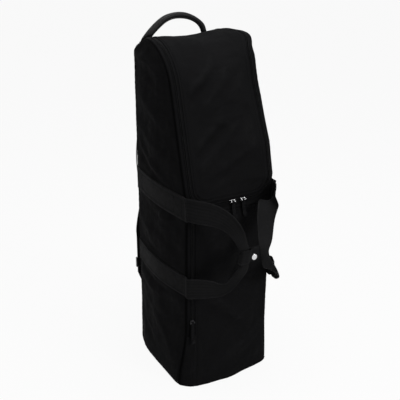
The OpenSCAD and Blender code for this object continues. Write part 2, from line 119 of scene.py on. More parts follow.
def primitive(kind: str, **settings: object) -> Piece:
    """Adds a primitive at its size and place, with nothing else selected.

    Args:
        kind: The primitive, as the operator names it.
        settings: The operator's settings.

    Returns:
        The new object.
    """
    deselect()
    getattr(bpy.ops.mesh, f"primitive_{kind}_add")(**settings)
    return bpy.context.active_object


def apply_placing() -> None:
    """Puts the active object's place, turn and scale into its mesh."""
    bpy.ops.object.transform_apply(location=True, rotation=True, scale=True)


@contextmanager
def all_in_edit_mode() -> Iterator[None]:
    """Opens the active object in edit mode with its whole mesh selected, and closes it again."""
    bpy.ops.object.mode_set(mode="EDIT")
    bpy.ops.mesh.select_all(action="SELECT")
    yield
    bpy.ops.object.mode_set(mode="OBJECT")


def new_mesh(name: str, points: Array, faces: list) -> Piece:
    """Makes an object of points in millimetres and faces.

    Args:
        name: The object's name.
        points: Its points, in millimetres.
        faces: Its faces' vertex numbers.

    Returns:
        The object.
    """
    mesh = bpy.data.meshes.new(name)
    mesh.from_pydata((points.reshape(-1, 3) * MM).tolist(), [], faces)
    piece = bpy.data.objects.new(name, mesh)
    bpy.context.scene.collection.objects.link(piece)
    return piece


def points_of(piece: Piece) -> Array:
    """Reads a mesh's vertices.

    Args:
        piece: A mesh object.

    Returns:
        An array of n points, as the mesh holds them.
    """
    flat = np.zeros(len(piece.data.vertices) * 3, np.float32)
    piece.data.vertices.foreach_get("co", flat)
    return flat.reshape(-1, 3).astype(float)


def set_points(piece: Piece, points: Array) -> None:
    """Writes a mesh's vertices, in metres."""
    piece.data.vertices.foreach_set("co", points.astype(np.float32).ravel())
    piece.data.update()


def set_uv(piece: Piece, flat: Array) -> None:
    """Writes each loop's place in the UV map from its vertex's flat place, in metres.

    Args:
        piece: A mesh object.
        flat: A flat place for each vertex.
    """
    mesh = piece.data
    layer = mesh.uv_layers.get("UVMap") or mesh.uv_layers.new(name="UVMap")
    corner = np.zeros(len(mesh.loops), np.int32)
    mesh.loops.foreach_get("vertex_index", corner)
    layer.data.foreach_set("uv", flat[corner].astype(np.float32).ravel())


def set_wear_and_seam_shade(piece: Piece, wear: Array) -> None:
    """Writes how rubbed each vertex is, from 1 to 0, or how much painted seam shade darkens it, down to -1, for the
    finishes to read.
    """
    # The attribute holds real wear above 0 and painted seam shade below 0.
    made = piece.data.attributes.new("wear", "FLOAT", "POINT")
    made.data.foreach_set("value", np.clip(wear, -1, 1).astype(np.float32))


def modify(piece: Piece, kind: str, **settings: object) -> None:
    """Adds a modifier, sets it and applies it.

    Args:
        piece: The object to change.
        kind: The modifier's type.
        settings: Its properties by name.
    """
    modifier = piece.modifiers.new(kind.title(), kind)
    for name, value in settings.items():
        setattr(modifier, name, value)
    pick(piece)
    bpy.ops.object.modifier_apply(modifier=modifier.name)


def smooth_shade(piece: Piece, degrees: float = 42.0) -> None:
    """Shades a piece smooth, apart from edges sharper than the angle."""
    pick(piece)
    bpy.ops.object.shade_smooth_by_angle(angle=math.radians(degrees))


def grid(name: str, columns: int, rows: int, form: Callable[[Array, Array], tuple[Array, Array, Array]]) -> Piece:
    """Shapes a sheet of cloth from a grid.

    Args:
        name: The piece's name.
        columns: Faces across the sheet.
        rows: Faces along it.
        form: Takes arrays u and v from 0 to 1, and gives points and flat places in millimetres, and wear with painted
            seam shade.

    Returns:
        The new object.
    """
    piece = primitive("grid", x_subdivisions=columns, y_subdivisions=rows, size=2.0)
    piece.name = piece.data.name = name
    start = points_of(piece)
    points, flat, wear = form((start[:, 0] + 1) / 2, (start[:, 1] + 1) / 2)
    set_points(piece, points * MM)
    set_uv(piece, flat * MM)
    set_wear_and_seam_shade(piece, wear)
    return piece


def tube(name: str, rings: Array, wear: Array | None = None, closed: bool = False) -> Piece:
    """Makes a closed solid through rings of points, such as a ribbon, a cord or a band.

    Args:
        name: The piece's name.
        rings: An array of n rings of m points each, in millimetres.
        wear: How rubbed each point of a ring is, or of each ring, and below 0 how much painted seam shade darkens it.
        closed: True if the last ring joins the first.

    Returns:
        The new object, with its faces outwards.
    """
    n, m = rings.shape[:2]
    last = n if closed else n - 1
    i, k = np.meshgrid(np.arange(last), np.arange(m), indexing="ij")
    i, k = i.ravel(), k.ravel()
    j, h = (i + 1) % n, (k + 1) % m
    faces = np.stack([i * m + k, i * m + h, j * m + h, j * m + k], 1).tolist()
    if not closed:
        faces += [list(range(m))[::-1], [(n - 1) * m + q for q in range(m)]]
    piece = new_mesh(name, rings, faces)
    along, around = lengths(rings.mean(1)), lengths(rings.mean(0))
    flat = np.stack(np.broadcast_arrays(around[None, :], along[:, None]), -1).reshape(-1, 2)
    set_uv(piece, flat * MM)
    set_wear_and_seam_shade(piece, np.zeros(n * m) if wear is None else np.broadcast_to(wear, (n, m)).ravel())
    pick(piece)
    with all_in_edit_mode():
        bpy.ops.mesh.normals_make_consistent(inside=False)
    smooth_shade(piece)
    return piece


def join(name: str, parts: list[Piece]) -> Piece:
    """Joins meshes into one piece.

    Args:
        name: The piece's name.
        parts: The meshes, of which the first stays.

    Returns:
        The joined object.
    """
    deselect()
    for part in parts:
        part.select_set(True)
    bpy.context.view_layer.objects.active = parts[0]
    bpy.ops.object.join()
    parts[0].name = parts[0].data.name = name
    return parts[0]


def repeat(name: str, seed: Piece, places: Array) -> Piece:
    """Copies a small modelled shape to many places, as one mesh, and removes the first one.

    Args:
        name: The new piece's name.
        seed: The shape at the origin, in millimetres.
        places: An array of n 3 by 4 matrices: three axes and the place, in millimetres.

    Returns:
        The new object.
    """
    shape = points_of(seed)
    loops = [list(p.vertices) for p in seed.data.polygons]
    placed = np.einsum("nij,mj->nmi", places[:, :, :3], shape) + places[:, None, :, 3]
    count = len(shape)
    faces = [[v + n * count for v in loop] for n in range(len(places)) for loop in loops]
    piece = new_mesh(name, placed, faces)
    set_wear_and_seam_shade(piece, np.zeros(count * len(places)))
    set_uv(piece, placed.reshape(-1, 3)[:, :2] * MM)
    bpy.data.objects.remove(seed)
    smooth_shade(piece, 50.0)
    return piece


def unit(vectors: Array) -> Array:
    """Gives vectors the length 1."""
    return vectors / np.maximum(np.linalg.norm(vectors, axis=-1, keepdims=True), 1e-9)


def smoothstep(t: Array) -> Array:
    """Rises smoothly from 0 at t = 0 to 1 at t = 1."""
    t = np.clip(t, 0, 1)
    return t * t * (3 - 2 * t)


def bell(t: Array) -> Array:
    """1 at t = 0, and next to nothing past t = 2."""
    return np.exp(-(t**2))


def lengths(path: Array) -> Array:
    """How far along a path each of its points lies."""
    return np.concatenate([[0], np.cumsum(np.linalg.norm(np.diff(path, axis=0), axis=1))])


def sampled(at: Array, known: Array, table: Array) -> Array:
    """Reads a table's columns off at places between the known ones."""
    return np.stack([np.interp(at, known, column) for column in table.T], -1)


def read_off(at: Array, pairs: tuple[Pair, ...]) -> Array:
    """Reads a line through pairs off at places."""
    return np.interp(at, *np.array(pairs).T)


def steady(value: float) -> Callable[[Array], Array]:
    """A function that is the same everywhere, for a straight edge."""
    return lambda along: value + 0 * along


def turns(count: int) -> Array:
    """Angles evenly spaced round a circle."""
    return np.linspace(0, 2 * np.pi, count, endpoint=False)


def squared(wave: Array, power: float) -> Array:
    """Makes a sine or cosine fuller, so that a round section turns into one with softened corners."""
    return np.sign(wave) * np.abs(wave) ** power


def sections(middle: Array, across: Array, up: Array, wide: Array, high: Array) -> Array:
    """Rings of points round a middle line, from their distances across and up."""
    return middle[:, None] + wide[..., None] * across[:, None] + high[..., None] * up[:, None]


def curve_through(stations: Array, steps: int) -> Array:
    """A smooth curve through stations of any width.

    Args:
        stations: An array of n rows.
        steps: Points between two stations.

    Returns:
        The stations and the points between them.
    """
    p = np.vstack([2 * stations[0] - stations[1], stations, 2 * stations[-1] - stations[-2]])
    t = (np.arange(steps) / steps)[:, None]
    runs = [
        0.5 * (2 * b + (c - a) * t + (2 * a - 5 * b + 4 * c - d) * t**2 + (3 * b - a - 3 * c + d) * t**3)
        for a, b, c, d in zip(p[:-3], p[1:-2], p[2:-1], p[3:])
    ]
    return np.vstack([*runs, stations[-1:]])


def ripple(u: Array, v: Array, length: float, seed: int) -> Array:
    """Gentle unevenness of about -1 to 1, the same each time.

    Args:
        u: Places across the cloth.
        v: Places along it.
        length: The usual length of a wave, in millimetres.
        seed: Which unevenness.

    Returns:
        The height at each place.
    """
    draw = np.random.default_rng(seed)
    total = np.zeros_like(u)
    for _ in range(7):
        turn, phase, size = draw.uniform(0, 2 * np.pi, 2).tolist() + [draw.uniform(0.6, 1.5)]
        total += np.sin(2 * np.pi * (u * math.cos(turn) + v * math.sin(turn)) / (length * size) + phase)
    return total / 3.2


# ---- the bag's outline and its slumped shell ----


class Outline:
    """The bag's side view as one closed line, with its length s measured up the front from the foot.

    Its places are pairs of y and z. An arc is its centre, its radius, and the angles at which it starts and ends.
    """

    front: tuple[Pair, ...] = ((-137.0, 0.0), (-147.0, 514.0), (-71.1, 794.8))
    arcs: tuple[tuple[Pair, float, float, float], ...] = (
        ((65.0, 758.0), 141.0, 164.86, 90.0), ((65.0, 816.286), 82.714, 90.0, 29.49),
    )
    back: tuple[Pair, ...] = ((137.0, 857.0), (137.0, 0.0), (-137.0, 0.0))
    rear_seam: float = 853.0
    softness: float = 5.5
    softened: int = 24

    def __init__(self) -> None:
        """Lays the line at 1 mm and softens its corners."""
        line = self._straight(self.front, 300)
        for centre, radius, start, end in self.arcs:
            turn = np.linspace(math.radians(start), math.radians(end), 190)[:-1]
            line += [np.array(centre) + radius * np.array([math.cos(a), math.sin(a)]) for a in turn]
        line = self._spaced(np.array(line + self._straight(self.back, 700)))
        span = self.softened
        reach = np.arange(-span, span + 1)
        weight = np.exp(-(reach**2) / (2 * self.softness**2))
        wrapped = np.vstack([line[-span:], line, line[:span]])
        soft = np.stack([np.convolve(wrapped[:, k], weight / weight.sum(), "valid") for k in (0, 1)], 1)
        crisp = 0.85 * smoothstep((60 - line[:, 1:2]) / 50)
        crisp = crisp + 0.75 * smoothstep((line[:, :1] - 112) / 20) * smoothstep((line[:, 1:2] - 835) / 15)
        soft = soft * (1 - crisp) + line * crisp
        soft = np.vstack([soft, soft[:1]])
        self.points = soft
        self.s = lengths(soft)
        self.total = float(self.s[-1])
        tangent = unit(np.gradient(soft, self.s, axis=0))
        self.normal = np.stack([-tangent[:, 1], tangent[:, 0]], 1)
        self.top = int(np.argmax(soft[:, 1]))
        self.rear = self.top + int(np.argmin(np.abs(soft[self.top : self.top + 400, 1] - self.rear_seam)))
        self.foot = int(np.argmin(np.hypot(soft[:, 0] - self.back[1][0], soft[:, 1])))

    @staticmethod
    def _straight(corners: tuple[Pair, ...], count: int) -> list[Array]:
        """Points along straight runs between corners, without the last corner."""
        runs = zip(np.array(corners[:-1]), np.array(corners[1:]))
        return [a + (b - a) * t for a, b in runs for t in np.linspace(0, 1, count)[:-1]]

    @staticmethod
    def _spaced(line: Array) -> Array:
        """Lays a closed line's points 1 mm apart.

        Args:
            line: A closed line's points.

        Returns:
            The points of the same line, evenly spaced.
        """
        closed = np.vstack([line, line[:1]])
        along = lengths(closed)
        return sampled(np.linspace(0, along[-1], int(along[-1]) + 1)[:-1], along, closed)

    def at(self, s: Array) -> tuple[Array, Array]:
        """Points and outward normals of the line.

        Args:
            s: Lengths along the line.

        Returns:
            The points (y, z) and the normals there.
        """
        s = np.mod(s, self.total)
        return sampled(s, self.s, self.points), unit(sampled(s, self.s, self.normal))

    def s_front(self, z: float) -> float:
        """The length at a height on the front."""
        return float(np.interp(z, self.points[: self.top, 1], self.s[: self.top]))

    def s_crown(self, y: float) -> float:
        """The length at a depth on the crown's rear half."""
        return float(np.interp(y, self.points[self.top : self.rear, 0], self.s[self.top : self.rear]))

    def front_y(self, z: Array) -> Array:
        """The front's y at heights z."""
        return np.interp(z, self.points[: self.top, 1], self.points[: self.top, 0])

    def back_y(self, z: Array) -> Array:
        """The back's y at heights z."""
        back = self.points[self.top : self.foot][::-1]
        return np.interp(z, back[:, 1], back[:, 0])

    def inset(self, y: Array, z: Array) -> Array:
        """How far inside the line each point lies.

        Args:
            y: Depths.
            z: Heights.

        Returns:
            The distances, negative outside.
        """
        line = self.points[::3]
        found = np.empty(len(y))
        for i in range(0, len(y), CHUNK):
            part = slice(i, i + CHUNK)
            apart = (y[part, None] - line[None, :, 0]) ** 2 + (z[part, None] - line[None, :, 1]) ** 2
            near = apart.argmin(1)
            along = self.normal[::3][near]
            found[part] = -((y[part] - line[near, 0]) * along[:, 0] + (z[part] - line[near, 1]) * along[:, 1])
        return found


@dataclass(frozen=True)
class Fold:
    """A soft ridge, or a hollow where its height is negative, along a line on flat cloth."""

    line: tuple[Pair, ...]
    height: float
    width: float

    def rise(self, u: Array, v: Array) -> Array:
        """How far the fold lifts the cloth at flat places u, v.

        Args:
            u: Flat places across.
            v: Flat places along.

        Returns:
            The rise at each place.
        """
        p = np.array(self.line)
        near, share = np.full(u.shape, 1e9), np.zeros(u.shape)
        for i, (a, b) in enumerate(zip(p, p[1:])):
            d = b - a
            t = np.clip(((u - a[0]) * d[0] + (v - a[1]) * d[1]) / (d @ d), 0, 1)
            away = np.hypot(u - a[0] - t * d[0], v - a[1] - t * d[1])
            closer = away < near
            near = np.where(closer, away, near)
            share = np.where(closer, (i + t) / (len(p) - 1), share)
        return self.height * np.exp(-((near / self.width) ** 2)) * np.sin(np.pi * np.clip(share, 0.04, 0.96)) ** 0.6


def small_folds(count: int, box: tuple[float, float, float, float], slant: float, seed: int) -> tuple[Fold, ...]:
    """Scatters small folds over flat cloth, the same each time.

    Args:
        count: How many.
        box: Lowest u, lowest v, highest u, highest v.
        slant: Their usual direction, in degrees from the u axis.
        seed: Which scatter.

    Returns:
        The folds.
    """
    draw = np.random.default_rng(seed)
    made = []
    for _ in range(count):
        u, v = draw.uniform(box[0], box[2]), draw.uniform(box[1], box[3])
        turn, reach = math.radians(slant + draw.normal(0, 24)), draw.uniform(22, 62)
        bow = draw.normal(0, 9)
        step = np.array([math.cos(turn), math.sin(turn)]) * reach
        side = np.array([-step[1], step[0]]) / reach * bow
        middle = np.array([u, v])
        line = tuple(map(tuple, (middle - step, middle - step / 3 + side, middle + step / 3 + side, middle + step)))
        made.append(Fold(line, draw.choice([-1, 1]) * draw.uniform(0.5, 1.7), draw.uniform(4.5, 10)))
    return tuple(made)


def folds(rows: tuple, shift: float = 0.0) -> list[Fold]:
    """Makes the folds of a table.

    Args:
        rows: For each fold its height, its width, and the flat places that it runs through.
        shift: What is added to the second part of each place.

    Returns:
        The folds.
    """
    return [Fold(tuple((u, v + shift) for u, v in line), height, width) for height, width, *line in rows]


# The lid's folds, whose lengths start at its lower edge.
LID_FOLDS = (
    (-6.0, 11, (-104, 84), (-74, 112), (-40, 140), (-6, 168), (16, 190)),
    (4.4, 12, (-96, 112), (-66, 139), (-32, 167), (2, 200)),
    (3.2, 13, (-92, 62), (-40, 104), (8, 150), (34, 176)),
    (4.6, 9, (-112, 262), (-84, 268), (-50, 288), (-16, 318), (6, 345)),
    (-3.8, 12, (-108, 236), (-72, 250), (-34, 276), (4, 312)),
    (3.0, 10, (-60, 226), (-26, 246), (12, 280), (36, 322)),
    (-3.0, 13, (-72, 34), (-22, 50), (26, 72), (70, 96), (104, 118)),
    (2.6, 12, (-40, 66), (10, 86), (56, 114), (92, 150)),
    (-3.2, 12, (20, 130), (52, 172), (78, 214), (102, 236)),
    (2.8, 11, (46, 128), (74, 166), (98, 196)),
    (2.6, 12, (24, 232), (54, 262), (84, 304)),
)
# The pocket's folds, whose lengths start at the foot.
POCKET_FOLDS = (
    (3.6, 12, (-116, 20), (-104, 62), (-92, 110), (-76, 142)),
    (-3.4, 13, (-90, 22), (-70, 70), (-50, 120), (-38, 150)),
    (-3.6, 14, (-92, 236), (-52, 214), (-8, 172), (38, 126)),
    (2.8, 12, (-84, 262), (-40, 236), (6, 196), (52, 150)),
    (3.2, 14, (-52, 60), (0, 84), (50, 108), (104, 132)),
    (-3.0, 14, (-30, 34), (24, 52), (70, 72), (112, 88)),
    (2.8, 16, (-80, 420), (-30, 396), (20, 352), (66, 300)),
    (-2.4, 16, (-60, 340), (-10, 372), (40, 410), (94, 440)),
    (2.4, 13, (20, 250), (60, 290), (96, 340), (112, 390)),
    (-7.0, 9, (-16, 252), (2, 292), (22, 340), (40, 384)),
    (4.5, 18, (-60, 330), (-30, 352), (-4, 380)),
)
# The side panels' folds, at depths and heights.
SIDE_FOLDS = (
    (4.4, 11, (132, 862), (96, 858), (38, 842), (-8, 830), (-44, 816)),
    (-3.6, 13, (124, 826), (80, 824), (36, 812), (-14, 796)),
    (3.8, 11, (122, 640), (84, 612), (40, 590), (-14, 570), (-70, 556)),
    (-3.6, 12, (124, 600), (80, 582), (30, 564), (-30, 556)),
    (-2.8, 14, (118, 704), (60, 672), (10, 650), (-60, 640)),
    (2.6, 14, (100, 756), (50, 740), (0, 716), (-50, 690)),
    (-2.6, 12, (90, 470), (30, 456), (-40, 440), (-110, 430)),
    (2.8, 15, (110, 404), (40, 388), (-30, 392), (-104, 372)),
    (-2.4, 11, (120, 350), (60, 352), (0, 346), (-80, 350)),
    (-3.0, 9, (116, 262), (60, 252), (0, 250), (-90, 258)),
    (2.6, 10, (124, 236), (70, 226), (10, 222), (-60, 236)),
    (-3.0, 15, (120, 130), (70, 90), (20, 64), (-40, 50)),
    (2.8, 15, (60, 170), (0, 150), (-60, 110), (-110, 50)),
)


@dataclass
class Shell:
    """The bag's padded shell: it bulges between its corners and its cloth creases."""

    half_width: float = 125.0
    corner: float = 6.5
    height: float = 899.0
    pocket_top: float = 486.0
    zip_height: float = 513.0
    hinge_y: float = 110.0
    side_bulge: tuple[Pair, ...] = (
        (0, 20), (60, 19), (200, 18), (300, 16), (400, 13.5), (514, 11), (620, 12), (720, 12), (800, 9), (860, 4),
        (899, 0),
    )
    front_bulge: tuple[Pair, ...] = (
        (0, 28), (45, 24), (110, 14), (200, 8), (300, 8), (420, 5), (486, 1), (500, 0), (530, 0), (570, 1.5), (640, 5),
        (740, 6), (840, 2), (899, 0),
    )
    foot_spread: tuple[Pair, ...] = (
        (-137, 18), (-128, 23), (-114, 25.5), (-42, 25), (8, 25), (52, 22), (78, 19), (104, 12), (137, 2),
    )
    foot_reach: tuple[Pair, ...] = (
        (-125, -8), (-119, 0), (-112, 9), (-104, 16), (-90, 21.5), (-65, 26), (-40, 27), (-13, 29), (12, 26),
        (43, 20.5), (79, 15.5), (105, 10), (116, 4), (125, -7),
    )
    foot_height: float = 170.0
    full_width: float = 143.6
    give: float = 4.0
    stand_in: float = 10.0
    back_bulge: float = 2.0
    blunt: float = 0.3
    sag_ahead: tuple[Pair, ...] = ((-125, 0), (-80, 2), (-40, 5), (0, 6), (30, 4), (60, 0), (90, -3), (125, -3))
    sag_behind: tuple[Pair, ...] = (
        (-125, 9.5), (-95, 4), (-70, 3), (-40, 6), (0, 7.5), (30, 5.5), (60, 1), (90, -2.5), (125, 0),
    )
    brow_rise: float = 14.0
    brow_push: float = 16.0
    spill: float = 13.0
    spill_share: tuple[Pair, ...] = ((518, 0), (560, 0.9), (640, 1), (720, 0.45), (790, 0))
    spill_ahead: tuple[Pair, ...] = ((0, 0), (50, 6), (92, 12), (109, 8), (125, 1))
    band_heights: Pair = (514.0, 302.0)
    outline: Outline = field(default_factory=Outline)

    def __post_init__(self) -> None:
        """Finds the lengths of the seams and lists the folds."""
        line = self.outline
        self.s_pocket = line.s_front(self.pocket_top)
        self.s_zip = line.s_front(self.zip_height)
        self.s_hinge = line.s_crown(self.hinge_y)
        self.s_rear = float(line.s[line.rear])
        self.s_foot = float(line.s[line.foot])
        self.seam = self.half_width - self.corner + self.corner * math.pi / 4
        lid = self.s_zip + 11
        self.front_folds = (
            *folds(LID_FOLDS, lid), *folds(POCKET_FOLDS),
            *small_folds(26, (-96, lid + 20, 96, lid + 350), 42, 5), *small_folds(26, (-88, 20, 112, 470), 25, 6),
        )
        self.side_folds = (*folds(SIDE_FOLDS), *small_folds(34, (-120, 20, 120, 830), 170, 7))

    def settle(self, p: Array) -> Array:
        """Moves points of the tailored bag to where the slumped cloth carries them.

        Args:
            p: An array of points, in millimetres.

        Returns:
            The moved points, none under the floor.
        """
        x, y, z = p[..., 0], p[..., 1], p[..., 2]
        high = np.clip(z, 0, self.height - 1)
        front, back = self.outline.front_y(high), self.outline.back_y(high)
        t = np.clip((y - (front + back) / 2) / np.maximum((back - front) / 2, 1), -1, 1)
        blunt, full = self.blunt, math.hypot(1, self.blunt)
        tent = (full - np.sqrt((t + 0.1 * (1 - t * t)) ** 2 + blunt**2)) / (full - blunt)
        foot = 1 - smoothstep(high / self.foot_height)
        belly = read_off(high, self.side_bulge) * (0.45 * tent + 0.55 * (1 - t * t))
        belly = belly * (1 - foot) + foot * read_off(y, self.foot_spread)
        belly = belly - self.stand_in * foot * smoothstep((-96 - y) / 40) * (x > 0)
        out = np.clip(np.abs(x) / self.half_width, 0, 1.1)
        reach = np.interp(high, (90, 160), (1.0, 0.79)) * self.half_width
        ahead = 1 - np.clip(np.abs(x) / reach, 0, 1) ** 2
        forward = read_off(high, self.front_bulge) * ahead * (1 - foot) + foot * read_off(x, self.foot_reach)
        forward = forward * (1 - smoothstep((y - front) / 90))
        rearward = self.back_bulge * (1 - np.clip(out, 0, 1) ** 2) * (1 - smoothstep((back - y) / 60))
        rearward = rearward * smoothstep(z / 120) * smoothstep((850 - z) / 80)
        moved = p.copy()
        moved[..., 0] = x + np.sign(x) * belly * out**1.5
        moved[..., 1] = y - forward + rearward
        moved += self._crown_shift(x, y, z)
        moved[..., 2] = np.maximum(moved[..., 2], 0.0)
        wide = np.abs(moved[..., 0])
        held = self.full_width + self.give * np.tanh((wide - self.full_width) / self.give)
        moved[..., 0] = np.where(wide > self.full_width, np.sign(moved[..., 0]) * held, moved[..., 0])
        return moved

    def _crown_shift(self, x: Array, y: Array, z: Array) -> Array:
        """How the stuffed crown differs from its pattern.

        Its top sags between the seams, its right front corner stands square, and the right edge of the lid spills out
        over the handle below it.

        Args:
            x: Places across.
            y: Depths.
            z: Heights.

        Returns:
            The shift of each point.
        """
        (centre_y, centre_z), *_ = self.outline.arcs[0]
        turn = np.degrees(np.arctan2(z - centre_z, centre_y - y))
        radius = np.hypot(z - centre_z, centre_y - y)
        skin = smoothstep((radius - 60) / 60) * (z > 700)
        right = smoothstep((x - 20) / 100)
        share = smoothstep((turn - 84) / 22)
        sag = (read_off(x, self.sag_ahead) * (1 - share) + read_off(x, self.sag_behind) * share) * skin
        sag = sag * smoothstep((turn - 62) / 26) * smoothstep((126 - turn) / 18)
        brow = self.brow_rise * right * skin * smoothstep((turn - 18) / 30) * smoothstep((86 - turn) / 26)
        push = np.zeros(x.shape + (3,))
        push[..., 0] = self.brow_push * right * skin * smoothstep((turn - 44) / 20) * smoothstep((98 - turn) / 26)
        push[..., 1] = -brow * np.cos(np.radians(turn))
        push[..., 2] = brow * np.sin(np.radians(turn)) - sag
        spill = read_off(z, self.spill_share) * smoothstep((40 - y) / 130)
        push[..., 0] += self.spill * spill * right
        push[..., 1] -= spill * read_off(x, self.spill_ahead)
        return push

    def front_rise(self, x: Array, s: Array) -> Array:
        """How far the strip's cloth rises at flat places: folds, unevenness and the pull of its seams.

        Args:
            x: Places across.
            s: Lengths along the outline.

        Returns:
            The rise at each place.
        """
        rise = sum(fold.rise(x, s) for fold in self.front_folds)
        lid_edge = np.maximum(np.abs(x) - 88, self.s_zip + 26 - s)
        calm = smoothstep((92 - np.abs(x)) / 22)
        on_lid = np.where(s > self.s_zip - 4, smoothstep(-lid_edge / 16), 1.0)
        under = smoothstep((self.s_pocket - 6 - s) / 30)
        pocket_edge = smoothstep((x + 92) / 16) * smoothstep((118 - x) / 16)
        gusset = smoothstep((150 - s) / 30) * smoothstep((-96 - x) / 8) * 0.6
        low = np.clip(pocket_edge * under + gusset, 0, 1)
        shown = np.where(s > self.s_zip - 4, on_lid * calm, np.where(s < self.s_pocket, low, 0.0))
        shown = shown * smoothstep((self.s_hinge - 16 - s) / 40)
        uneven = 1.3 * ripple(x, s, 120, 11) + 0.5 * ripple(x, s, 42, 12)
        return (rise + uneven) * shown

    def side_rise(self, side: Side, y: Array, z: Array, inset: Array) -> Array:
        """How far a side's cloth rises at its flat places.

        Args:
            side: Which side.
            y: Depths.
            z: Heights.
            inset: How far inside the panel's edge each place lies.

        Returns:
            The rise at each place.
        """
        mirror = y if side is Side.LEFT else -0.82 * y + 4
        rise = sum(fold.rise(mirror, z if side is Side.LEFT else z * 0.985 + 6) for fold in self.side_folds)
        uneven = 1.4 * ripple(y, z, 130, 21 + side.value) + 0.5 * ripple(y, z, 45, 31 + side.value)
        sewn = np.ones_like(y)
        for middle in self.band_heights:
            on_band = smoothstep((36 - np.abs(z - middle)) / 9) * smoothstep((132 - y) / 8)
            sewn = sewn * (1 - 0.86 * on_band)
        wave = np.sin((y * 0.7 + z) * 2 * np.pi / 17 + 2 * ripple(y, z, 90, 41))
        pucker = 0.45 * np.exp(-np.clip(inset, 0, 60) / 7) * wave
        return (rise + uneven) * smoothstep(inset / 26) * sewn + pucker * smoothstep(inset / 3)

    def strip(self, x: Array, s: Array, lift: float | Array = 0.0) -> Array:
        """Carries flat places of the front, crown, back and base to the bag.

        Args:
            x: Places across, up to seam at the side seams.
            s: Lengths along the outline.
            lift: Height above the cloth's outer face.

        Returns:
            The points.
        """
        x, s, lift = np.broadcast_arrays(np.asarray(x, float), np.asarray(s, float), np.asarray(lift, float))
        flat = self.half_width - self.corner
        a = np.abs(x)
        angle = np.clip((a - flat) / self.corner, 0, math.pi / 3)
        lift = lift + self.front_rise(x, s)
        point, normal = self.outline.at(s)
        depth = (self.corner + lift) * np.cos(angle) - self.corner
        yz = point + normal * depth[..., None]
        wide = np.minimum(a, flat) + (self.corner + lift) * np.sin(angle)
        return self.settle(np.stack([np.sign(x) * wide, yz[..., 0], yz[..., 1]], -1))

    def side(self, side: Side, y: Array, z: Array, lift: float | Array = 0.0, rounded: bool = True) -> Array:
        """Carries places of a side panel, in the side view, to the bag.

        Args:
            side: Which side.
            y: Depths.
            z: Heights.
            lift: Height above the cloth's outer face.
            rounded: False for a band that runs straight on past the rounded seams.

        Returns:
            The points.
        """
        y, z, lift = np.broadcast_arrays(np.asarray(y, float), np.asarray(z, float), np.asarray(lift, float))
        inset = self.outline.inset(y.ravel(), z.ravel()).reshape(y.shape)
        bare = np.clip(self.corner - inset, 0, self.corner * 0.98) * rounded
        wide = self.half_width - self.corner + np.sqrt(self.corner**2 - bare**2)
        wide = wide + lift + self.side_rise(side, y, z, inset)
        return self.settle(np.stack([side.value * wide, y, z], -1))


# ---- finishes ----


class Shader:
    """Adds nodes to a material or a node group, and links them."""

    def __init__(self, tree: bpy.types.NodeTree) -> None:
        """Keeps the tree to add to."""
        self.tree = tree

    def add(self, kind: str, **settings: object) -> bpy.types.Node:
        """Adds a node.

        Args:
            kind: Its type, without the ShaderNode at its front.
            settings: Its properties by name, and under inputs a dict of values or sockets by input name or number.

        Returns:
            The node.
        """
        inputs = settings.pop("inputs", {})
        node = self.tree.nodes.new(kind if kind.startswith("Node") else "ShaderNode" + kind)
        for name, value in settings.items():
            setattr(node, name, value)
        for name, value in inputs.items():
            if isinstance(value, Socket):
                self.tree.links.new(value, node.inputs[name])
            else:
                node.inputs[name].default_value = value
        return node

    def math(self, operation: str, *values: object, clamp: bool = False) -> Socket:
        """Adds a Math node and gives its output."""
        return self.add("Math", operation=operation, use_clamp=clamp, inputs=dict(enumerate(values))).outputs[0]

    def mix(self, share: object, first: object, second: object) -> Socket:
        """Adds a colour mix and gives its output."""
        return self.add("Mix", data_type="RGBA", inputs={0: share, 6: first, 7: second}).outputs[2]

    def noise(self, vector: Socket, scale: object, detail: float, roughness: float = 0.5) -> Socket:
        """Adds a noise and gives its value."""
        given = {"Vector": vector, "Scale": scale, "Detail": detail, "Roughness": roughness}
        return self.add("TexNoise", inputs=given).outputs["Fac"]

    def spread(self, value: Socket, inputs: Pair, outputs: Pair = (0.0, 1.0)) -> Socket:
        """Maps a value from one range to another and gives the result."""
        ends = dict(zip(("From Min", "From Max", "To Min", "To Max"), inputs + outputs))
        return self.add("MapRange", inputs={"Value": value, **ends}).outputs[0]


def make_group(name: str, numbers: dict[str, float], results: tuple[str, ...], build: Callable) -> bpy.types.NodeTree:
    """Makes a shader node group, whose first input is a vector.

    Args:
        name: The group's name.
        numbers: Its other inputs' names and defaults.
        results: The names of its float outputs.
        build: Takes the Shader and the input sockets, and gives the output sockets in order.

    Returns:
        The group.
    """
    tree = bpy.data.node_groups.new(name, "ShaderNodeTree")
    tree.interface.new_socket(name="Vector", in_out="INPUT", socket_type="NodeSocketVector")
    for label, default in numbers.items():
        tree.interface.new_socket(name=label, in_out="INPUT", socket_type="NodeSocketFloat").default_value = default
    for label in results:
        tree.interface.new_socket(name=label, in_out="OUTPUT", socket_type="NodeSocketFloat")
    shader = Shader(tree)
    entry, leave = shader.add("NodeGroupInput"), shader.add("NodeGroupOutput")
    for index, socket in enumerate(build(shader, entry.outputs)):
        tree.links.new(socket, leave.inputs[index])
    return tree


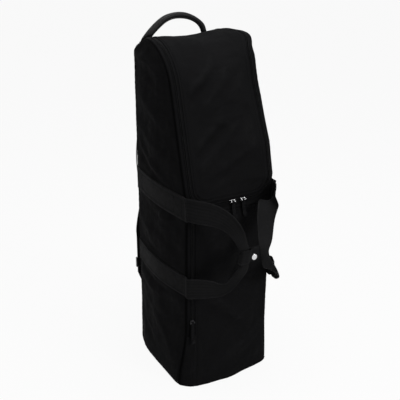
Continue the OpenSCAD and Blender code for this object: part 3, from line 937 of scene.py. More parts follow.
def weave_nodes(shader: Shader, given: Sockets) -> list[Socket]:
    """A plain weave: threads over and under each other in squares.

    Args:
        shader: Adds the nodes.
        given: The group's input sockets.

    Returns:
        The output sockets.
    """
    scaled = shader.add("VectorMath", operation="SCALE", inputs={0: given["Vector"], "Scale": given["Threads"]})
    split = shader.add("SeparateXYZ", inputs={0: scaled.outputs[0]})
    warp = shader.math("ABSOLUTE", shader.math("SINE", shader.math("MULTIPLY", split.outputs[0], math.pi)))
    weft = shader.math("ABSOLUTE", shader.math("SINE", shader.math("MULTIPLY", split.outputs[1], math.pi)))
    over = shader.add("TexChecker", inputs={"Vector": scaled.outputs[0], "Scale": 1.0})
    first = shader.math("MULTIPLY", warp, over.outputs["Fac"])
    second = shader.math("MULTIPLY", weft, shader.math("SUBTRACT", 1.0, over.outputs["Fac"]))
    return [shader.math("ADD", first, second)]


def mottle_nodes(shader: Shader, given: Sockets) -> list[Socket]:
    """Broad and fine unevenness of a surface's tone."""
    broad = shader.noise(given["Vector"], given["Broad"], 3.0, 0.55)
    return [broad, shader.noise(given["Vector"], given["Fine"], 4.0, 0.6)]


def rub_nodes(shader: Shader, given: Sockets) -> list[Socket]:
    """Where edges and folds are rubbed paler: the rubbed part of the wear and seam shade attribute, broken up by
    noise.
    """
    broken = shader.spread(shader.noise(given["Vector"], given["Scale"], 5.0, 0.65), (0.36, 0.66))
    return [shader.math("MULTIPLY", given["Wear"], broken, clamp=True)]


def grain_nodes(shader: Shader, given: Sockets) -> list[Socket]:
    """A fine pebbled grain.

    Args:
        shader: Adds the nodes.
        given: The group's input sockets.

    Returns:
        The output sockets.
    """
    cells = shader.add("TexVoronoi", inputs={"Vector": given["Vector"], "Scale": given["Scale"], "Randomness": 0.95})
    noise = shader.noise(given["Vector"], given["Scale"], 3.0)
    return [shader.math("ADD", cells.outputs["Distance"], shader.math("MULTIPLY", noise, 0.6))]


class Effects:
    """The node groups that the finishes share, each made once."""

    def __init__(self) -> None:
        """Makes the groups."""
        self.weave = make_group("weave", {"Threads": 900.0}, ("Height",), weave_nodes)
        self.mottle = make_group("mottle", {"Broad": 9.0, "Fine": 90.0}, ("Broad", "Fine"), mottle_nodes)
        self.rub = make_group("rub", {"Scale": 60.0, "Wear": 0.0}, ("Mask",), rub_nodes)
        self.grain = make_group("grain", {"Scale": 900.0}, ("Height",), grain_nodes)


# The colour that painted shade darkens seams, tape edges and welts towards.
SEAM_SHADE = (0.001, 0.001, 0.0011, 1)
BUMP_DEPTH = 0.0003


@dataclass(frozen=True)
class Finish:
    """A finish of one material slot.

    Woven finishes take their threads from the piece's UV map, the others their grain from its own place. The wear
    and seam shade attribute says where a surface is rubbed paler, above 0, or darkened in a seam by painted shade,
    below 0.
    """

    slot: Slot
    colour: Triple
    worn: Triple
    roughness: Pair
    threads: float = 0.0
    grain: float = 0.0
    bump: float = 0.25
    specular: float = 0.2
    metallic: float = 0.0
    name: str = ""

    def material(self, effects: Effects) -> bpy.types.Material:
        """Builds the material.

        Args:
            effects: The shared node groups.

        Returns:
            The material.
        """
        made = bpy.data.materials.new(self.name or self.slot.value)
        made.use_nodes = True
        made.diffuse_color = (*self.colour, 1)
        shader = Shader(made.node_tree)
        surface = made.node_tree.nodes["Principled BSDF"]
        place = shader.add("TexCoord").outputs["Object"]
        mottle = shader.add("Group", node_tree=effects.mottle, inputs={"Vector": place})
        wear = shader.add("Attribute", attribute_name="wear")
        rub = shader.add("Group", node_tree=effects.rub, inputs={"Vector": place, "Wear": wear.outputs["Fac"]})
        broad, fine = mottle.outputs["Broad"], mottle.outputs["Fine"]
        deep = (*[c * 0.62 for c in self.colour], 1)
        tone = shader.mix(shader.spread(broad, (0.3, 0.7), (0.0, 0.5)), (*self.colour, 1), deep)
        tone = shader.mix(rub.outputs["Mask"], tone, (*self.worn, 1))
        height = fine
        if self.threads:
            flat = shader.add("UVMap", uv_map="UVMap").outputs[0]
            weave = shader.add("Group", node_tree=effects.weave, inputs={"Vector": flat, "Threads": self.threads})
            height = shader.math("ADD", weave.outputs["Height"], shader.math("MULTIPLY", fine, 0.4))
            tone = shader.mix(shader.spread(weave.outputs["Height"], (0.0, 1.0), (0.0, 0.35)), tone, (*self.worn, 1))
        # Painted shade: where the attribute is below 0, the colour is darkened towards SEAM_SHADE, as if the seam lay
        # in shade.
        seam_groove_and_shade = shader.math("MULTIPLY", wear.outputs["Fac"], -1.0, clamp=True)
        tone = shader.mix(seam_groove_and_shade, tone, SEAM_SHADE)
        if self.grain:
            pebble = shader.add("Group", node_tree=effects.grain, inputs={"Vector": place, "Scale": self.grain})
            height = shader.math("ADD", pebble.outputs["Height"], shader.math("MULTIPLY", fine, 0.5))
        bump = shader.add("Bump", inputs={"Strength": self.bump, "Distance": BUMP_DEPTH, "Height": height})
        rough = shader.spread(fine, (0.3, 0.7), self.roughness)
        linked = {"Base Color": tone, "Roughness": rough, "Normal": bump.outputs[0]}
        for name, socket in linked.items():
            made.node_tree.links.new(socket, surface.inputs[name])
        surface.inputs["Metallic"].default_value = self.metallic
        surface.inputs["Specular IOR Level"].default_value = self.specular
        return made


def black(base: float, worn: float) -> tuple[Triple, Triple]:
    """A black and its rubbed places, both very slightly blue."""
    return (base, base, round(base + 0.0004, 5)), (worn, worn, round(worn + 0.001, 4))


FINISHES = (
    Finish(Slot.SHELL, *black(0.0066, 0.018), (0.66, 0.84), threads=1300, bump=0.35, specular=0.008),
    Finish(Slot.ZIP_CLOTH, *black(0.0048, 0.015), (0.6, 0.78), threads=1600, bump=0.3, specular=0.015),
    Finish(Slot.WEBBING, *black(0.0092, 0.024), (0.56, 0.74), threads=700, bump=0.5, specular=0.015),
    Finish(Slot.LEATHER, *black(0.0066, 0.018), (0.4, 0.56), grain=1100, bump=0.3, specular=0.14),
    Finish(Slot.ZIP_PLASTIC, *black(0.004, 0.012), (0.45, 0.6), bump=0.15, specular=0.08),
    Finish(
        Slot.PLASTIC, (0.009, 0.009, 0.0095), (0.022, 0.022, 0.023), (0.38, 0.5), grain=2200, bump=0.2, specular=0.4,
    ),
    Finish(Slot.METAL, (0.72, 0.72, 0.73), (0.86, 0.86, 0.87), (0.16, 0.28), bump=0.08, specular=0.5, metallic=1.0),
)
# A darker copy of the bright metal: painted shade for the pocket's slider, which lies in shade.
PAINTED_SHADE_METAL = Finish(
    Slot.METAL, (0.06, 0.06, 0.063), (0.2, 0.2, 0.21), (0.42, 0.6), bump=0.2, specular=0.3, metallic=1.0,
    name="painted_shade_metal",
)


class Bench:
    """Dresses finished pieces and puts them on their bodies."""

    def __init__(self) -> None:
        """Makes one material for each slot, and a darker copy of the metal with painted shade."""
        effects = Effects()
        self.materials = {finish.slot: finish.material(effects) for finish in FINISHES}
        self.painted_shade_metal = PAINTED_SHADE_METAL.material(effects)

    def fit(self, piece: Piece, body: str, slot: Slot, replaces: tuple[str, ...] = ()) -> Piece:
        """Gives a piece its finish and its body.

        Args:
            piece: The finished mesh.
            body: The CAD body that it rides on.
            slot: Its material slot.
            replaces: The CAD nodes that it stands for.

        Returns:
            The piece.
        """
        piece.data.materials.clear()
        piece.data.materials.append(self.materials[slot])
        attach(piece, body)
        if replaces:
            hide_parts(*replaces)
        LOG.info("%s: %d faces, rides on %s", piece.name, len(piece.data.polygons), body)
        return piece

    def dress_node(self, name: str, slot: Slot, painted_shade: bool = False) -> None:
        """Gives a CAD node that stays in view its finish.

        Args:
            name: The node's name.
            slot: Its material slot.
            painted_shade: True for the metal darkened with painted shade.
        """
        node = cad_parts[name]
        node.data.materials.clear()
        node.data.materials.append(self.painted_shade_metal if painted_shade else self.materials[slot])
        LOG.info("%s: kept, with %s", name, slot.value)


# ---- seams: ribbons, stitches and zips on the shell ----

# Painted shade that darkens a zip tape's two edges, where they meet the cloth.
TAPE_EDGE_SHADE = -0.8
TAPE_FACES = (-2.0, -0.9)
COIL_ROWS = ((-1.9, 0.25), (1.9, 0.75))


def ribbon(name: str, line: Line, offsets: tuple[float, ...], low: float, high: float) -> Piece:
    """Makes a flat ribbon that lies on the shell.

    Args:
        name: The piece's name.
        line: Takes an offset and a lift, and gives the points along the ribbon there.
        offsets: Places across the ribbon, in order.
        low: The lift of its under face.
        high: The lift of its upper face.

    Returns:
        The ribbon.
    """
    around = [line(o, high) for o in offsets] + [line(o, low) for o in reversed(offsets)]
    rings = np.stack(around, 1)
    # The ribbon's two edges take painted shade.
    edge = np.zeros(rings.shape[1])
    edge[[0, len(offsets) - 1]] = TAPE_EDGE_SHADE
    return tube(name, rings, edge)


def round_cord(
    name: str, path: Array, radius: float, sides: int = 10, closed: bool = False, wear: float = 0.12,
) -> Piece:
    """Sweeps a round cord, such as piping or a rolled seam, along a path.

    Args:
        name: The piece's name.
        path: Its middle line.
        radius: Its radius.
        sides: Points round it.
        closed: True if its ends meet.
        wear: How rubbed it is, or, below 0, how much painted seam shade darkens it.

    Returns:
        The cord.
    """
    along = unit(np.roll(path, -1, 0) - np.roll(path, 1, 0) if closed else np.gradient(path, axis=0))
    rough = np.where(np.abs(along[:, 2:3]) > 0.8, [[0.0, 1.0, 0.0]], [[0.0, 0.0, 1.0]])
    side = unit(np.cross(along, rough))
    for i in range(1, len(side)):
        side[i] = unit(side[i - 1] - along[i] * (side[i - 1] @ along[i]))
    up = np.cross(side, along)
    turn = turns(sides)[None]
    rings = sections(path, side, up, radius * np.cos(turn), radius * np.sin(turn))
    return tube(name, rings, np.full(sides, wear), closed)


def frames_along(path: Array, normal: Array, pitch: float, start: float = 0.5) -> Array:
    """Spaces places evenly along a path.

    Args:
        path: Points.
        normal: The surface's normals at them.
        pitch: The distance between two places.
        start: Where the first place lies, as a share of the pitch.

    Returns:
        For each place a 3 by 4 matrix: along, across, up and the place.
    """
    s = lengths(path)
    at = np.arange(start * pitch, s[-1], pitch)
    along = unit(sampled(at + 0.6, s, path) - sampled(at - 0.6, s, path))
    across = unit(np.cross(unit(sampled(at, s, normal)), along))
    return np.stack([along, across, np.cross(along, across), sampled(at, s, path)], 2)


def stitch_seed(length: float = 3.0, radius: float = 0.42) -> Piece:
    """Models one stitch: a short thread whose ends dip into the cloth.

    Args:
        length: Its length.
        radius: The thread's radius.

    Returns:
        The stitch, in millimetres at the origin.
    """
    seed = primitive("cylinder", vertices=6, radius=radius, depth=length, rotation=(0, math.pi / 2, 0))
    apply_placing()
    with all_in_edit_mode():
        bpy.ops.mesh.bisect(plane_co=(0, 0, 0), plane_no=(1, 0, 0))
    points = points_of(seed)
    points[:, 2] -= np.where(np.abs(points[:, 0]) > length / 4, 0.5, -0.12)
    set_points(seed, points)
    return seed


def tooth_seed() -> Piece:
    """Models one turn of a zip's coil.

    Returns:
        The tooth, in millimetres at the origin.
    """
    seed = primitive("cube", size=1.0, scale=(1.7, 2.9, 2.0))
    apply_placing()
    modify(seed, "BEVEL", width=0.55, segments=1)
    return seed


@dataclass
class Seams:
    """Stitch rows, tapes and coils that lie on the shell."""

    shell: Shell
    zip_x: float = 109.0
    zip_corner: float = 45.0

    def u_flat(self, offset: float) -> tuple[Array, Array]:
        """The lid zip's line, shifted outwards.

        Args:
            offset: The shift, negative towards the lid.

        Returns:
            Flat places x and s, from the hinge's left end round to its right end.
        """
        middle_x, middle_s = self.zip_x - self.zip_corner, self.shell.s_zip + self.zip_corner
        radius = self.zip_corner + offset
        rise = np.linspace(self.shell.s_hinge, middle_s, 130)
        turn = np.linspace(math.pi, 1.5 * math.pi, 22)[1:]
        bottom = np.linspace(-middle_x, middle_x, 36)[1:-1]
        left_x = np.concatenate([np.full(130, -self.zip_x - offset), -middle_x + radius * np.cos(turn)])
        left_s = np.concatenate([rise, middle_s + radius * np.sin(turn)])
        x = np.concatenate([left_x, bottom, -left_x[::-1]])
        s = np.concatenate([left_s, np.full(34, middle_s - radius), left_s[::-1]])
        return x, s

    def u_line(self, offset: float, lift: float) -> Array:
        """Points along the lid zip's line, shifted outwards and lifted."""
        return self.shell.strip(*self.u_flat(offset), lift)

    def pocket_line(self, offset: float, lift: float) -> Array:
        """Points up the pocket zip's line, shifted across and lifted."""
        s = np.linspace(149, self.shell.s_pocket + 1, 110)
        return self.shell.strip(-self.zip_x + offset, s, lift)

    def stitches(self, name: str, rows: list, pitch: float = 4.4) -> Piece:
        """Sews rows of stitches.

        Args:
            name: The piece's name.
            rows: For each row a function of a lift that gives its points.
            pitch: The length of a stitch and its gap.

        Returns:
            All the rows as one piece.
        """
        places = []
        for row in rows:
            path = row(0.35)
            places.append(frames_along(path, row(1.35) - path, pitch))
        return repeat(name, stitch_seed(pitch * 0.68), np.concatenate(places))

    def coil(self, name: str, line: Line, offset: float, start: float) -> Piece:
        """Lays one row of a zip's coil.

        Args:
            name: The piece's name.
            line: Takes an offset and a lift, and gives points.
            offset: The row's place across the zip.
            start: The first tooth's place, as a share of the pitch.

        Returns:
            The row.
        """
        path = line(offset, 0.05)
        return repeat(name, tooth_seed(), frames_along(path, line(offset, 1.05) - path, 2.1, start))


def hemmed(distance: Array) -> Array:
    """The rise of a folded, topstitched edge at a distance from the edge."""
    edge, groove, swell = bell((distance - 1.5) / 1.5), bell((distance - 4.4) / 1.25), bell((distance - 8.0) / 2.4)
    return 1.25 * edge - 1.15 * groove + 0.8 * swell


@dataclass
class BodyCloth:
    """The bag's fixed cloth: sides, back, base, yokes, and the boards that stiffen it."""

    shell: Shell
    seams: Seams
    bench: Bench
    cloth: float = 2.6
    groove: float = 1.7

    def _finish_cloth(self, piece: Piece) -> Piece:
        """Gives a shaped grid its thickness, inwards, and shades it smooth.

        Args:
            piece: The grid.

        Returns:
            The same piece.
        """
        modify(piece, "SOLIDIFY", thickness=self.cloth * MM, offset=-1.0)
        smooth_shade(piece, 60.0)
        return piece

    def side_cloth(self, side: Side) -> Piece:
        """Makes a side panel, tailored to its seams and then slumped.

        Args:
            side: Which side.

        Returns:
            The panel.
        """
        shell, line = self.shell, self.shell.outline
        edge = shell.corner * (1 - math.sqrt(0.5)) + self.groove * math.sqrt(0.5)
        s_brow = line.s_front(857.7)

        def seam(start: float, end: float, t: Array) -> Array:
            """Points just inside the seam, from one length to another as t goes from 0 to 1."""
            point, normal = line.at(start + (end - start) * t)
            return point - normal * edge

        def form(u: Array, v: Array) -> tuple[Array, Array, Array]:
            """Fills the panel in between its four seams, and slumps it.

            Args:
                u: Shares across.
                v: Shares along.

            Returns:
                Points, flat places, and wear with painted seam shade.
            """
            u = u if side is Side.RIGHT else 1 - u
            front, back = seam(0, s_brow, v), seam(shell.s_foot, shell.s_rear, v)
            low, high = seam(line.total, shell.s_foot, u), seam(s_brow, shell.s_rear, u)
            c = [seam(a, a, np.zeros(1)) for a in (0.0, shell.s_foot, s_brow, shell.s_rear)]
            u2, v2 = u[:, None], v[:, None]
            blend = (1 - u2) * front + u2 * back + (1 - v2) * low + v2 * high
            blend -= (1 - u2) * (1 - v2) * c[0] + u2 * (1 - v2) * c[1] + (1 - u2) * v2 * c[2] + u2 * v2 * c[3]
            inset = line.inset(blend[:, 0], blend[:, 1])
            rise = shell.side_rise(side, blend[:, 0], blend[:, 1], inset)
            seam_groove_and_shade = bell((inset - edge) / self.groove)
            # Painted shade: the seam groove is darkened in colour as well as sunk.
            wear = 0.16 * np.clip(rise / 3, 0, 1) - 1.15 * seam_groove_and_shade
            return shell.side(side, blend[:, 0], blend[:, 1], -1.26 * self.groove * seam_groove_and_shade), blend, wear

        return self._finish_cloth(grid(f"{side.word}_side_cloth", 86, 276, form))

    def strip_cloth(
        self, name: str, edges: tuple[Callable[[Array], Array], ...], counts: tuple[int, int],
        hem: Callable[[Array, Array], Array] | None = None, rubbed: float = 0.16,
    ) -> Piece:
        """Makes a panel of the front, crown, back or base.

        Args:
            name: The piece's name.
            edges: Its left and right edges' x, as functions of s, and its lower and upper edges' s, as functions of
                a share across from 0 to 1.
            counts: Faces across and along.
            hem: Gives the distance from a hemmed edge at flat places, or None.
            rubbed: How rubbed its folds are.

        Returns:
            The panel.
        """
        shell = self.shell
        low_x, high_x, low_s, high_s = edges

        def form(u: Array, v: Array) -> tuple[Array, Array, Array]:
            """Fills the panel in between its edges, and slumps it.

            Args:
                u: Shares across.
                v: Shares along.

            Returns:
                Points, flat places, and wear with painted seam shade.
            """
            s = low_s(u) + (high_s(u) - low_s(u)) * v
            x = low_x(s) + (high_x(s) - low_x(s)) * u
            seam_groove_and_shade = bell((shell.seam - np.abs(x)) / self.groove)
            extra = (hemmed(hem(x, s)) if hem else 0.0) - self.groove * seam_groove_and_shade
            # Painted shade: the seam groove is darkened in colour as well as sunk.
            wear = rubbed * np.clip(shell.front_rise(x, s) / 3, 0, 1) - 1.15 * seam_groove_and_shade
            wear = wear + (0.16 * bell(hem(x, s) / 3) if hem else 0.0)
            return shell.strip(x, s, extra), np.stack([x, s], 1), wear

        return self._finish_cloth(grid(name, *counts, form))

    def build(self) -> None:
        """Makes and fits every fixed panel."""
        shell, seam, bench = self.shell, self.shell.seam, self.bench
        for side in Side:
            piece = self.side_cloth(side)
            bench.fit(piece, "bag", Slot.SHELL, (f"{side.word}_side_panel",))
        total = shell.outline.total
        runs = (
            ("top_yoke_cloth", shell.s_hinge + 2.4, shell.s_rear, (80, 12), ("top_yoke",)),
            ("back_cloth", shell.s_rear, shell.s_foot, (78, 260), ("back_panel",)),
            ("base_cloth", shell.s_foot, total, (78, 84), ("bottom_panel",)),
        )
        for name, start, end, counts, nodes in runs:
            piece = self.strip_cloth(name, (steady(-seam), steady(seam), steady(start), steady(end)), counts)
            bench.fit(piece, "bag", Slot.SHELL, nodes)
            board = "back_board" if "back" in name else "base_board"
        piece = self._front_yoke()
        bench.fit(piece, "bag", Slot.SHELL, ("front_yoke",))
        self._seam_piping()
        for board in ("base_board", "back_board"):
            bench.dress_node(board, Slot.PLASTIC)

    def _front_yoke(self) -> Piece:
        """Makes the cloth between the pocket and the lid's zip, which runs up into the zip's corners.

        Returns:
            The yoke.
        """
        shell, seams = self.shell, self.seams
        middle_x, middle_s = seams.zip_x - seams.zip_corner, shell.s_zip + seams.zip_corner
        radius = seams.zip_corner + 11.0

        def top(u: Array) -> Array:
            """The upper edge's length at shares across."""
            over = np.clip(np.abs((2 * u - 1) * shell.seam) - middle_x, 0, radius)
            return middle_s - np.sqrt(np.maximum(radius**2 - over**2, 0))

        low = shell.s_pocket + 0.8
        edges = (steady(-shell.seam), steady(shell.seam), steady(low), top)
        return self.strip_cloth("front_yoke_cloth", edges, (110, 14), lambda x, s: s - low)

    @staticmethod
    def _off_floor(path: Array, height: float = 1.3) -> Array:
        """Lifts a cord's middle line so that the cord lies on the floor, not in it."""
        path[:, 2] = np.maximum(path[:, 2], height)
        return path

    def _seam_piping(self) -> None:
        """Lays a thin welt in the seams between the sides and the strip, and across the back."""
        shell, line = self.shell, self.shell.outline
        s = np.linspace(0, line.total, 620, endpoint=False)
        for side in Side:
            path = self._off_floor(shell.strip(side.value * shell.seam, s, -self.groove - 0.9))
            # The welts take painted shade, darkened as if shaded in the seam.
            piece = round_cord(f"{side.word}_side_welt", path, 1.25, 8, closed=True, wear=-0.6)
            self.bench.fit(piece, "bag", Slot.ZIP_CLOTH)
        x = np.linspace(-shell.seam + 1, shell.seam - 1, 90)
        for name, place in (
            ("back_top_welt", shell.s_rear), ("back_foot_welt", shell.s_foot), ("front_foot_welt", 0.0),
        ):
            path = self._off_floor(shell.strip(x, place, -0.5))
            self.bench.fit(round_cord(name, path, 1.2, 8), "bag", Slot.ZIP_CLOTH)
        rows = []
        run = np.linspace(shell.s_hinge + 8, shell.s_foot - 8, 420)
        for sign in (-1, 1):
            rows.append(lambda lift, k=sign: shell.strip(k * (shell.half_width - shell.corner - 1.5), run, lift))
        for place in (shell.s_rear - 7, shell.s_rear + 7):
            rows.append(lambda lift, p=place: shell.strip(np.linspace(-112, 112, 90), p, lift))
        self.bench.fit(self.seams.stitches("back_stitches", rows), "bag", Slot.ZIP_CLOTH)


@dataclass
class LidAssembly:
    """The U-shaped lid, its zip, and the rolled seam that it turns on."""

    shell: Shell
    seams: Seams
    bench: Bench
    body: BodyCloth
    half_width: float = 99.5
    corner: float = 35.5
    above_zip: float = 9.5
    seam_height: float = 885.69
    sliders: Pair = (5.0, 35.0)
    pull_axis: Pair = (-152.68, 513.1)

    def _edge(self, x: Array, s: Array) -> Array:
        """How far inside the lid's sewn edge flat places lie.

        Args:
            x: Places across.
            s: Lengths along the outline.

        Returns:
            The distances, negative outside.
        """
        low = self.shell.s_zip + self.above_zip
        dx = np.maximum(np.abs(x) - (self.half_width - self.corner), 0)
        dy = np.maximum(low + self.corner - s, 0)
        inner = np.minimum(self.half_width - np.abs(x), s - low)
        return np.where((dx > 0) & (dy > 0), self.corner - np.hypot(dx, dy), inner)

    @staticmethod
    def _hang(piece: Piece) -> None:
        """Takes a piece of the lid off its body again and bakes its place into its mesh."""
        piece.parent = None
        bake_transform(piece)

    def _half(self, s: Array) -> Array:
        """The lid's half width at lengths s.

        Args:
            s: Lengths along the outline.

        Returns:
            The half width at each.
        """
        low = self.shell.s_zip + self.above_zip
        up = np.clip(low + self.corner - s, 0, self.corner)
        return self.half_width - self.corner + np.sqrt(np.maximum(self.corner**2 - up**2, 0))

    def build(self) -> None:
        """Makes and fits the lid's pieces."""
        shell, seams, bench = self.shell, self.seams, self.bench
        low, high = shell.s_zip + self.above_zip, shell.s_hinge - 2.4
        edges = (lambda s: -self._half(s), self._half, steady(low), steady(high))
        lid = self.body.strip_cloth("lid_cloth", edges, (72, 200), self._edge, 0.3)
        bench.fit(lid, "lid", Slot.SHELL, ("lid_panel",))
        self._hang(lid)
        edge = shell.seam - seams.zip_x - 0.6
        inner = ribbon("lid_inner_tape", seams.u_line, (-12.0, -9.0, -6.0, -3.4, -0.7), *TAPE_FACES)
        outer = ribbon("lid_outer_tape", seams.u_line, (0.7, 3.4, 6.5, 10.0, edge), -2.0, -0.7)
        self._hang(bench.fit(inner, "lid", Slot.ZIP_CLOTH, ("lid_zip_inner_tape",)))
        bench.fit(outer, "bag", Slot.ZIP_CLOTH, ("lid_zip_outer_tape",))
        tapes = ((inner, -6.3, 11.3, "lid_outer_tape"), (outer, 7.0, edge - 0.7, "left_side_cloth"))
        for tape, offset, wide, holder in tapes:
            length = float(lengths(seams.u_line(offset, -1.0))[-1])
        coils = [
            seams.coil(f"lid_{word}_coil", seams.u_line, *row) for word, row in zip(("inner", "outer"), COIL_ROWS)
        ]
        self._hang(bench.fit(coils[0], "lid", Slot.ZIP_PLASTIC, ("lid_zip_inner_coil",)))
        bench.fit(coils[1], "bag", Slot.ZIP_PLASTIC, ("lid_zip_outer_coil",))
        sewn = seams.stitches("lid_stitches", [lambda lift: seams.u_line(-14.9, lift)])
        self._hang(bench.fit(sewn, "lid", Slot.ZIP_CLOTH))
        bench.fit(seams.stitches("zip_stitches", [lambda lift: seams.u_line(6.0, lift - 0.9)]), "bag", Slot.ZIP_CLOTH)
        row = np.array([[x, shell.hinge_y, self.seam_height] for x in np.linspace(-118, 118, 60)])
        roll = round_cord("lid_seam_cord", shell.settle(row), 2.3, 12)
        bench.fit(roll, "bag", Slot.ZIP_CLOTH, ("lid_seam_roll",))
        for side, x0 in zip(Side, self.sliders):
            bench.dress_node(f"{side.word}_lid_slider", Slot.METAL)
            pull = make_pull(f"{side.word}_lid_pull_tab", x0, self.pull_axis, 48.0, 7.0)
            bench.fit(pull, f"{side.word}_lid_pull", Slot.ZIP_CLOTH, (f"{side.word}_lid_pull",))


# Half of a pull's section: places across, heights, and how rubbed they are.
PULL_PROFILE = ((-1, -0.4, 1.2), (-0.9, -0.5, 1.0), (0, -0.45, 0.8), (0.9, -0.5, 1.0), (1, -0.4, 1.2))


def make_pull(name: str, x: float, axis: Pair, length: float, lean: float, stand: float = 0.0) -> Piece:
    """Makes a slider's pull: a strip of tape folded round the bail and sewn to itself.

    Args:
        name: The piece's name.
        x: The middle of the strip.
        axis: The bail's y and z.
        length: How far the pull hangs below the axis.
        lean: How far its end swings sideways.
        stand: How far its end stands off the cloth.

    Returns:
        The pull.
    """
    y, z = axis
    turn = np.linspace(0.0, math.pi, 9)
    loop = np.stack([1.55 * np.cos(turn), 1.55 * np.sin(turn)], 1)
    back = np.array([[0.62, -length + 1], [0.6, -length + 12], [0.62, -length / 2], [0.7, -12], [1.15, -5]])
    front = np.array([[-1.15, -5], [-0.72, -12], [-0.6, -length / 2], [-0.6, -length + 12], [-0.6, -length]])
    path = curve_through(np.vstack([back, loop, front]), 4)
    depth = np.clip(-path[:, 1] / length, 0, 1)
    width = 3.1 + 1.4 * smoothstep((depth * length - 3) / 7)
    middle = np.stack([x + lean * depth**2, y + path[:, 0] - stand * depth**2, z + path[:, 1]], 1)
    along = unit(np.gradient(middle, axis=0))
    across = np.tile([1.0, 0.0, 0.0], (len(along), 1))
    up = unit(np.cross(along, across))
    a, b, wear = np.array(PULL_PROFILE).T
    rings = sections(middle, across, up, width[:, None] * np.append(a, -a), 0.85 * np.append(b, -b)[None])
    tab = tube(name + "_strip", rings, np.append(wear, wear))
    tip = primitive("cube", size=1.0, scale=(10.4, 3.6, 11.0))
    apply_placing()
    modify(tip, "BEVEL", width=1.5, segments=3)
    points = points_of(tip)
    points[:, 0] *= 1 - 0.12 * np.clip(points[:, 2] / 5.5, -1, 1)
    set_points(tip, (points + np.array([x + lean, y - stand, z - length + 5.5])) * MM)
    set_wear_and_seam_shade(tip, np.full(len(points), 1.2))
    return join(name, [tab, tip])


@dataclass
class PocketAssembly:
    """The flat front pocket with its upright zip."""

    shell: Shell
    seams: Seams
    bench: Bench
    body: BodyCloth
    left_edge: float = -98.0
    zip_start: float = 150.0
    slider_height: float = 192.0

    def build(self) -> None:
        """Makes and fits the pocket's pieces."""
        shell, seams, bench, seam = self.shell, self.seams, self.bench, self.shell.seam
        left, top, zip_start = self.left_edge, shell.s_pocket, self.zip_start
        edges = (steady(left), steady(seam), steady(0), steady(top))
        cloth = self.body.strip_cloth(
            "pocket_cloth", edges, (78, 168), lambda x, s: np.minimum(x - left, top - s), 0.26,
        )
        bench.fit(cloth, "bag", Slot.SHELL, ("pocket_panel",))
        edges = (steady(-seam), steady(left), steady(0), steady(zip_start))
        gusset = self.body.strip_cloth(
            "pocket_gusset_cloth", edges, (12, 50), lambda x, s: np.minimum(left - x, zip_start - s + 3)
        )
        bench.fit(gusset, "bag", Slot.SHELL, ("pocket_gusset",))
        line = seams.pocket_line
        offsets = ((-13.4, -10, -6, -3, -0.7), (0.7, 3, 6, 9, 12.5))
        tapes = join("pocket_zip_tape", [ribbon("tape", line, row, *TAPE_FACES) for row in offsets])
        bench.fit(tapes, "bag", Slot.ZIP_CLOTH, ("pocket_zip_tapes",))
        rows = join("pocket_zip_coils", [seams.coil("coil", line, *row) for row in COIL_ROWS])
        bench.fit(rows, "bag", Slot.ZIP_PLASTIC, ("pocket_zip_coil",))
        s = np.linspace(6, top - 6, 150)
        sewn = [
            lambda lift: shell.strip(left + 5.4, s, lift),
            lambda lift: shell.strip(np.linspace(-90, 114, 90), top - 5.4, lift),
            lambda lift: shell.strip(np.linspace(-118, 118, 110), top + 6.2, lift),
            lambda lift: shell.strip(113.0, s, lift),
        ]
        bench.fit(seams.stitches("pocket_stitches", sewn), "bag", Slot.ZIP_CLOTH)
        edges = (steady(-118), steady(118), steady(6), steady(top + 14))
        lining = self.body.strip_cloth("pocket_lining", edges, (30, 80))
        points = points_of(lining)
        points[:, 1] += 0.017 * smoothstep((0.505 - points[:, 2]) / 0.04)
        set_points(lining, points)
        bench.fit(lining, "bag", Slot.SHELL, ("front_wall",))
        # The pocket's slider takes the darker copy of the metal, painted shade as if it lay in shade.
        bench.dress_node("pocket_slider", Slot.METAL, painted_shade=True)
        point, _ = shell.outline.at(np.array(self.slider_height))
        pull = make_pull("pocket_pull_tab", -seams.zip_x, (float(point[0]) - 5.7, self.slider_height), 60.0, -1.0, 5.0)
        bench.fit(pull, "pocket_pull", Slot.ZIP_CLOTH, ("pocket_pull",))


# ---- bands and handles ----


# Half of a band's section, from its middle to one edge: places across, heights, and how rubbed they are.
BAND_PROFILE = (
    (0.0, 1.04, 0.14), (0.4, 1.0, 0.1), (0.76, 0.86, 0.02), (0.84, 1.08, 0.25), (0.9, 1.2, 0.5), (0.95, 1.05, 0.55),
    (0.985, 0.75, 0.5), (1.0, 0.3, 0.4),
)
ROUNDED_FROM = 4.5


def band_section() -> tuple[Array, Array, Array]:
    """A band's section as places across, heights and wear, over its face and back along its other face."""
    a, b, wear = np.array([(-x, y, w) for x, y, w in BAND_PROFILE[:0:-1]] + list(BAND_PROFILE)).T
    return np.append(a, a[::-1]), np.append(b, -b[::-1]), np.append(wear, wear[::-1])


def band_frames(stations: Array) -> tuple[Array, Array, Array]:
    """Middle points, unit across and unit up vectors of a band's stations.

    Args:
        stations: Rows of x, y, z, the across direction's three parts, width and thickness.

    Returns:
        The three arrays.
    """
    middle = stations[:, :3]
    along = unit(np.gradient(middle, axis=0))
    side = stations[:, 3:6]
    across = unit(side - along * (side * along).sum(1, keepdims=True))
    return middle, across, np.cross(across, along)


def flat_stations(middle: Array, side: Triple, width: float | Array, thick: float) -> Array:
    """The stations of a flat band along a middle line.

    Args:
        middle: Its points.
        side: The across direction.
        width: The band's width, one for all or one at each point.
        thick: Its thickness.

    Returns:
        Rows as band_frames takes them.
    """
    n = len(middle)
    return np.column_stack([middle, np.tile(side, (n, 1)), np.broadcast_to(width, n), np.full(n, thick)])


def at_one_x(x: float, path: Array) -> Array:
    """Points through places y and z that all lie at one x."""
    return np.column_stack([np.full(len(path), x), path])


